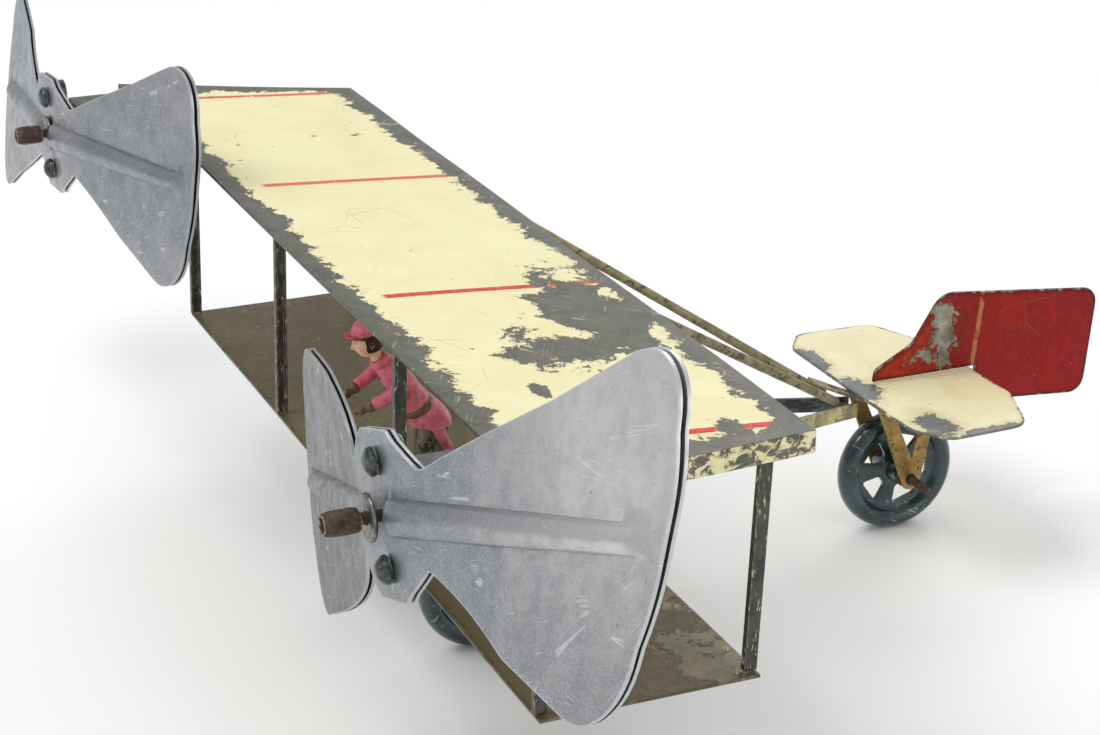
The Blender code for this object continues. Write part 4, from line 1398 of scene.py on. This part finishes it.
def make_body():
    lean = BODY_LEAN
    coat = [
        ((0, 19.4, 9.0), 5.4, 4.4, 0.0),
        ((0, 18.6, 10.6), 4.9, 3.9, lean * 0.5),
        ((0, 16.4, 13.6), 3.6, 3.0, lean),
        ((0, 14.0, 17.2), 4.0, 2.95, lean),
        ((0, 12.0, 20.2), 4.3, 2.6, lean),
        ((0, 10.9, 21.9), 3.2, 2.0, lean),
        ((0, 10.2, 22.6), 1.6, 1.4, lean),
    ]
    figure_piece("coat_detailed", soft_loft(coat, 96, 8, coat_relief), "coat", node="coat")
    collar = [
        ((0, 10.6, 21.9), 1.9, 1.7, lean),
        ((0, 10.2, 22.4), 2.2, 2.0, lean),
        ((0, 9.6, 23.1), 2.05, 1.9, lean),
        ((0, 9.4, 23.35), 1.6, 1.5, lean),
    ]
    figure_piece("collar", soft_loft(collar, 64, 5), "coat")
    belt = [
        ((0, 17.35, 12.0), 4.1, 3.35, lean * 0.8),
        ((0, 17.15, 12.3), 4.18, 3.42, lean * 0.8),
        ((0, 16.75, 12.9), 4.02, 3.3, lean * 0.85),
        ((0, 16.55, 13.2), 3.85, 3.2, lean * 0.9),
    ]
    figure_piece("belt", soft_loft(belt, 64, 4), "glove")
    facing = Vector((0, -math.cos(lean), -math.sin(lean)))
    buttons = bmesh.new()
    for k in range(4):
        share = k / 3
        middle = at(0, 16.0 - 4.2 * share, 14.2 + 6.3 * share)
        out = 3.0 - 0.3 * share
        join_into(buttons, button(middle + facing * out * MM, facing, 0.42))
    figure_piece("coat_buttons", buttons, "black")
    neck = [
        ((0, 9.7, 22.8), 1.15, 1.15, lean),
        ((0, 9.2, 23.5), 1.1, 1.1, lean),
        ((0, 8.6, 24.6), 1.1, 1.1, lean),
    ]
    paint_skin(figure_piece("neck", soft_loft(neck, 32, 5), "head"))


def make_arm(side_name, side):
    sleeve = [
        (3.9, 12.2, 21.0, 1.2),
        (5.3, 12.2, 20.3, 1.35),
        (5.9, 11.2, 18.6, 1.4),
        (5.8, 9.6, 17.4, 1.3),
        (5.4, 7.8, 16.5, 1.15),
        (4.95, 6.4, 15.85, 1.1),
    ]
    shape = soft_limb(sleeve, side, folds=0.035)
    figure_piece(f"sleeve_{side_name}", shape, "coat", node=f"arm_{side_name}")
    palm = [
        (5.1, 6.9, 16.1, 1.12),
        (4.9, 6.2, 15.75, 1.2),
        (4.6, 5.2, 15.3, 0.85),
        (4.4, 4.6, 15.05, 1.0),
        (4.2, 3.9, 14.7, 0.75),
    ]
    glove = soft_limb(palm, side)
    thumb = [(4.2, 4.9, 15.3, 0.35), (3.7, 4.5, 15.35, 0.34), (3.45, 4.1, 15.1, 0.26)]
    join_into(glove, soft_limb(thumb, side, 20, 6))
    for k in range(3):
        inward = 0.42 * k
        finger = [
            (4.6 - inward, 4.1, 14.95, 0.27),
            (4.5 - inward, 3.6, 14.55, 0.27),
            (4.42 - inward, 3.7, 14.1, 0.22),
        ]
        join_into(glove, soft_limb(finger, side, 16, 5))
    figure_piece(f"glove_{side_name}", glove, "glove")


def make_leg(side_name, side, joints):
    shape = soft_limb(joints, side, folds=0.03)
    figure_piece(f"trouser_{side_name}", shape, "trousers", node=f"leg_{side_name}")
    x, y = side * joints[-1][0], joints[-1][1]
    shoe = [
        ((x, y - 0.7, 0.32), 1.0, 1.75, 0.0),
        ((x, y - 0.7, 0.5), 1.1, 1.9, 0.0),
        ((x, y - 0.55, 0.95), 1.02, 1.7, 0.0),
        ((x, y - 0.15, 1.5), 0.92, 1.15, 0.0),
        ((x, y, 2.2), 0.9, 0.95, 0.0),
        ((x, y, 2.7), 0.95, 0.98, 0.0),
    ]
    figure_piece(f"shoe_{side_name}", soft_loft(shoe, 48, 5), "black")


def make_pilot():
    make_body()
    make_head()
    for side_name, side in SIDES:
        make_ear(side_name, side)
    make_hair()
    make_cap()
    for side_name, side in SIDES:
        make_arm(side_name, side)
    rear = ((4.0, 19.7, 9.2, 1.35), (3.95, 20.6, 7.0, 1.2), (3.9, 21.6, 5.0, 1.02), (3.9, 22.6, 2.4, 0.85))
    front = ((3.4, 15.4, 9.2, 1.4), (3.5, 14.9, 7.0, 1.25), (3.6, 14.6, 5.0, 1.1), (3.6, 14.4, 2.2, 0.85))
    make_leg("left", 1, rear)
    make_leg("right", -1, front)


# ---- Studio ----


CAMERA_PLACE = (0.40535, -0.19726, 0.22092)
CAMERA_RIGHT = (0.39297, 0.91955, 0.00093)
CAMERA_FORWARD = (-0.85524, 0.36585, -0.36705)
CAMERA_LENS = 79.93
CAMERA_SHIFT = (0.00563, 0.00502)
# Name, place in metres, width and power.
LIGHTS = (
    ("key", (-0.15, -0.75, 1.15), 0.9, 8.5),
    ("fill", (1.2, 0.25, 0.8), 1.1, 3.0),
    ("back", (-0.8, 0.9, 0.9), 0.9, 4.5),
)
MODEL_MIDDLE = Vector((0, 0, 0.05))


def make_studio():
    graph = Graph("pale_floor")
    tone = graph.clouds(0.3, 0.7, 260.0, 3.0, 0.5)
    graph.colour = graph.mix(tone, srgb(249, 249, 249), srgb(251, 251, 251))
    graph.finish(0.65)
    shape = bmesh.new()
    size, steps = 6.0, 24
    rows = []
    for j in range(steps + 1):
        y = -size + 2 * size * j / steps
        rows.append([shape.verts.new((-size + 2 * size * i / steps, y, 0.0)) for i in range(steps + 1)])
    join_rows(shape, rows)
    floor = mesh_object("studio_floor", shape)
    floor.data.materials.append(graph.material)

    world = bpy.data.worlds.new("studio_air")
    world.use_nodes = True
    background = world.node_tree.nodes["Background"]
    background.inputs["Color"].default_value = (0.96, 0.98, 1.0, 1.0)
    background.inputs["Strength"].default_value = 0.62
    bpy.context.scene.world = world

    for name, place, width, power in LIGHTS:
        data = bpy.data.lights.new(name, "AREA")
        data.shape = "DISK"
        data.size = width
        data.energy = power
        lamp = bpy.data.objects.new(name, data)
        lamp.location = place
        aim = MODEL_MIDDLE - Vector(place)
        lamp.rotation_euler = aim.to_track_quat("-Z", "Y").to_euler()
        bpy.context.scene.collection.objects.link(lamp)

    data = bpy.data.cameras.new("camera")
    data.sensor_width = 36.0
    data.lens = CAMERA_LENS
    data.shift_x, data.shift_y = CAMERA_SHIFT
    data.clip_start = 0.01
    data.clip_end = 50.0
    camera = bpy.data.objects.new("camera", data)
    right = Vector(CAMERA_RIGHT).normalized()
    forward = Vector(CAMERA_FORWARD).normalized()
    up = right.cross(forward).normalized()
    right = forward.cross(up)
    turn = Matrix((right, up, -forward)).transposed()
    camera.matrix_world = Matrix.Translation(CAMERA_PLACE) @ turn.to_4x4()
    bpy.context.scene.collection.objects.link(camera)
    bpy.context.scene.camera = camera
    bpy.context.scene.view_settings.view_transform = "Standard"


make_sheets_and_struts()
make_bars()
make_wheels()
make_propellers()
make_pilot()
make_studio()
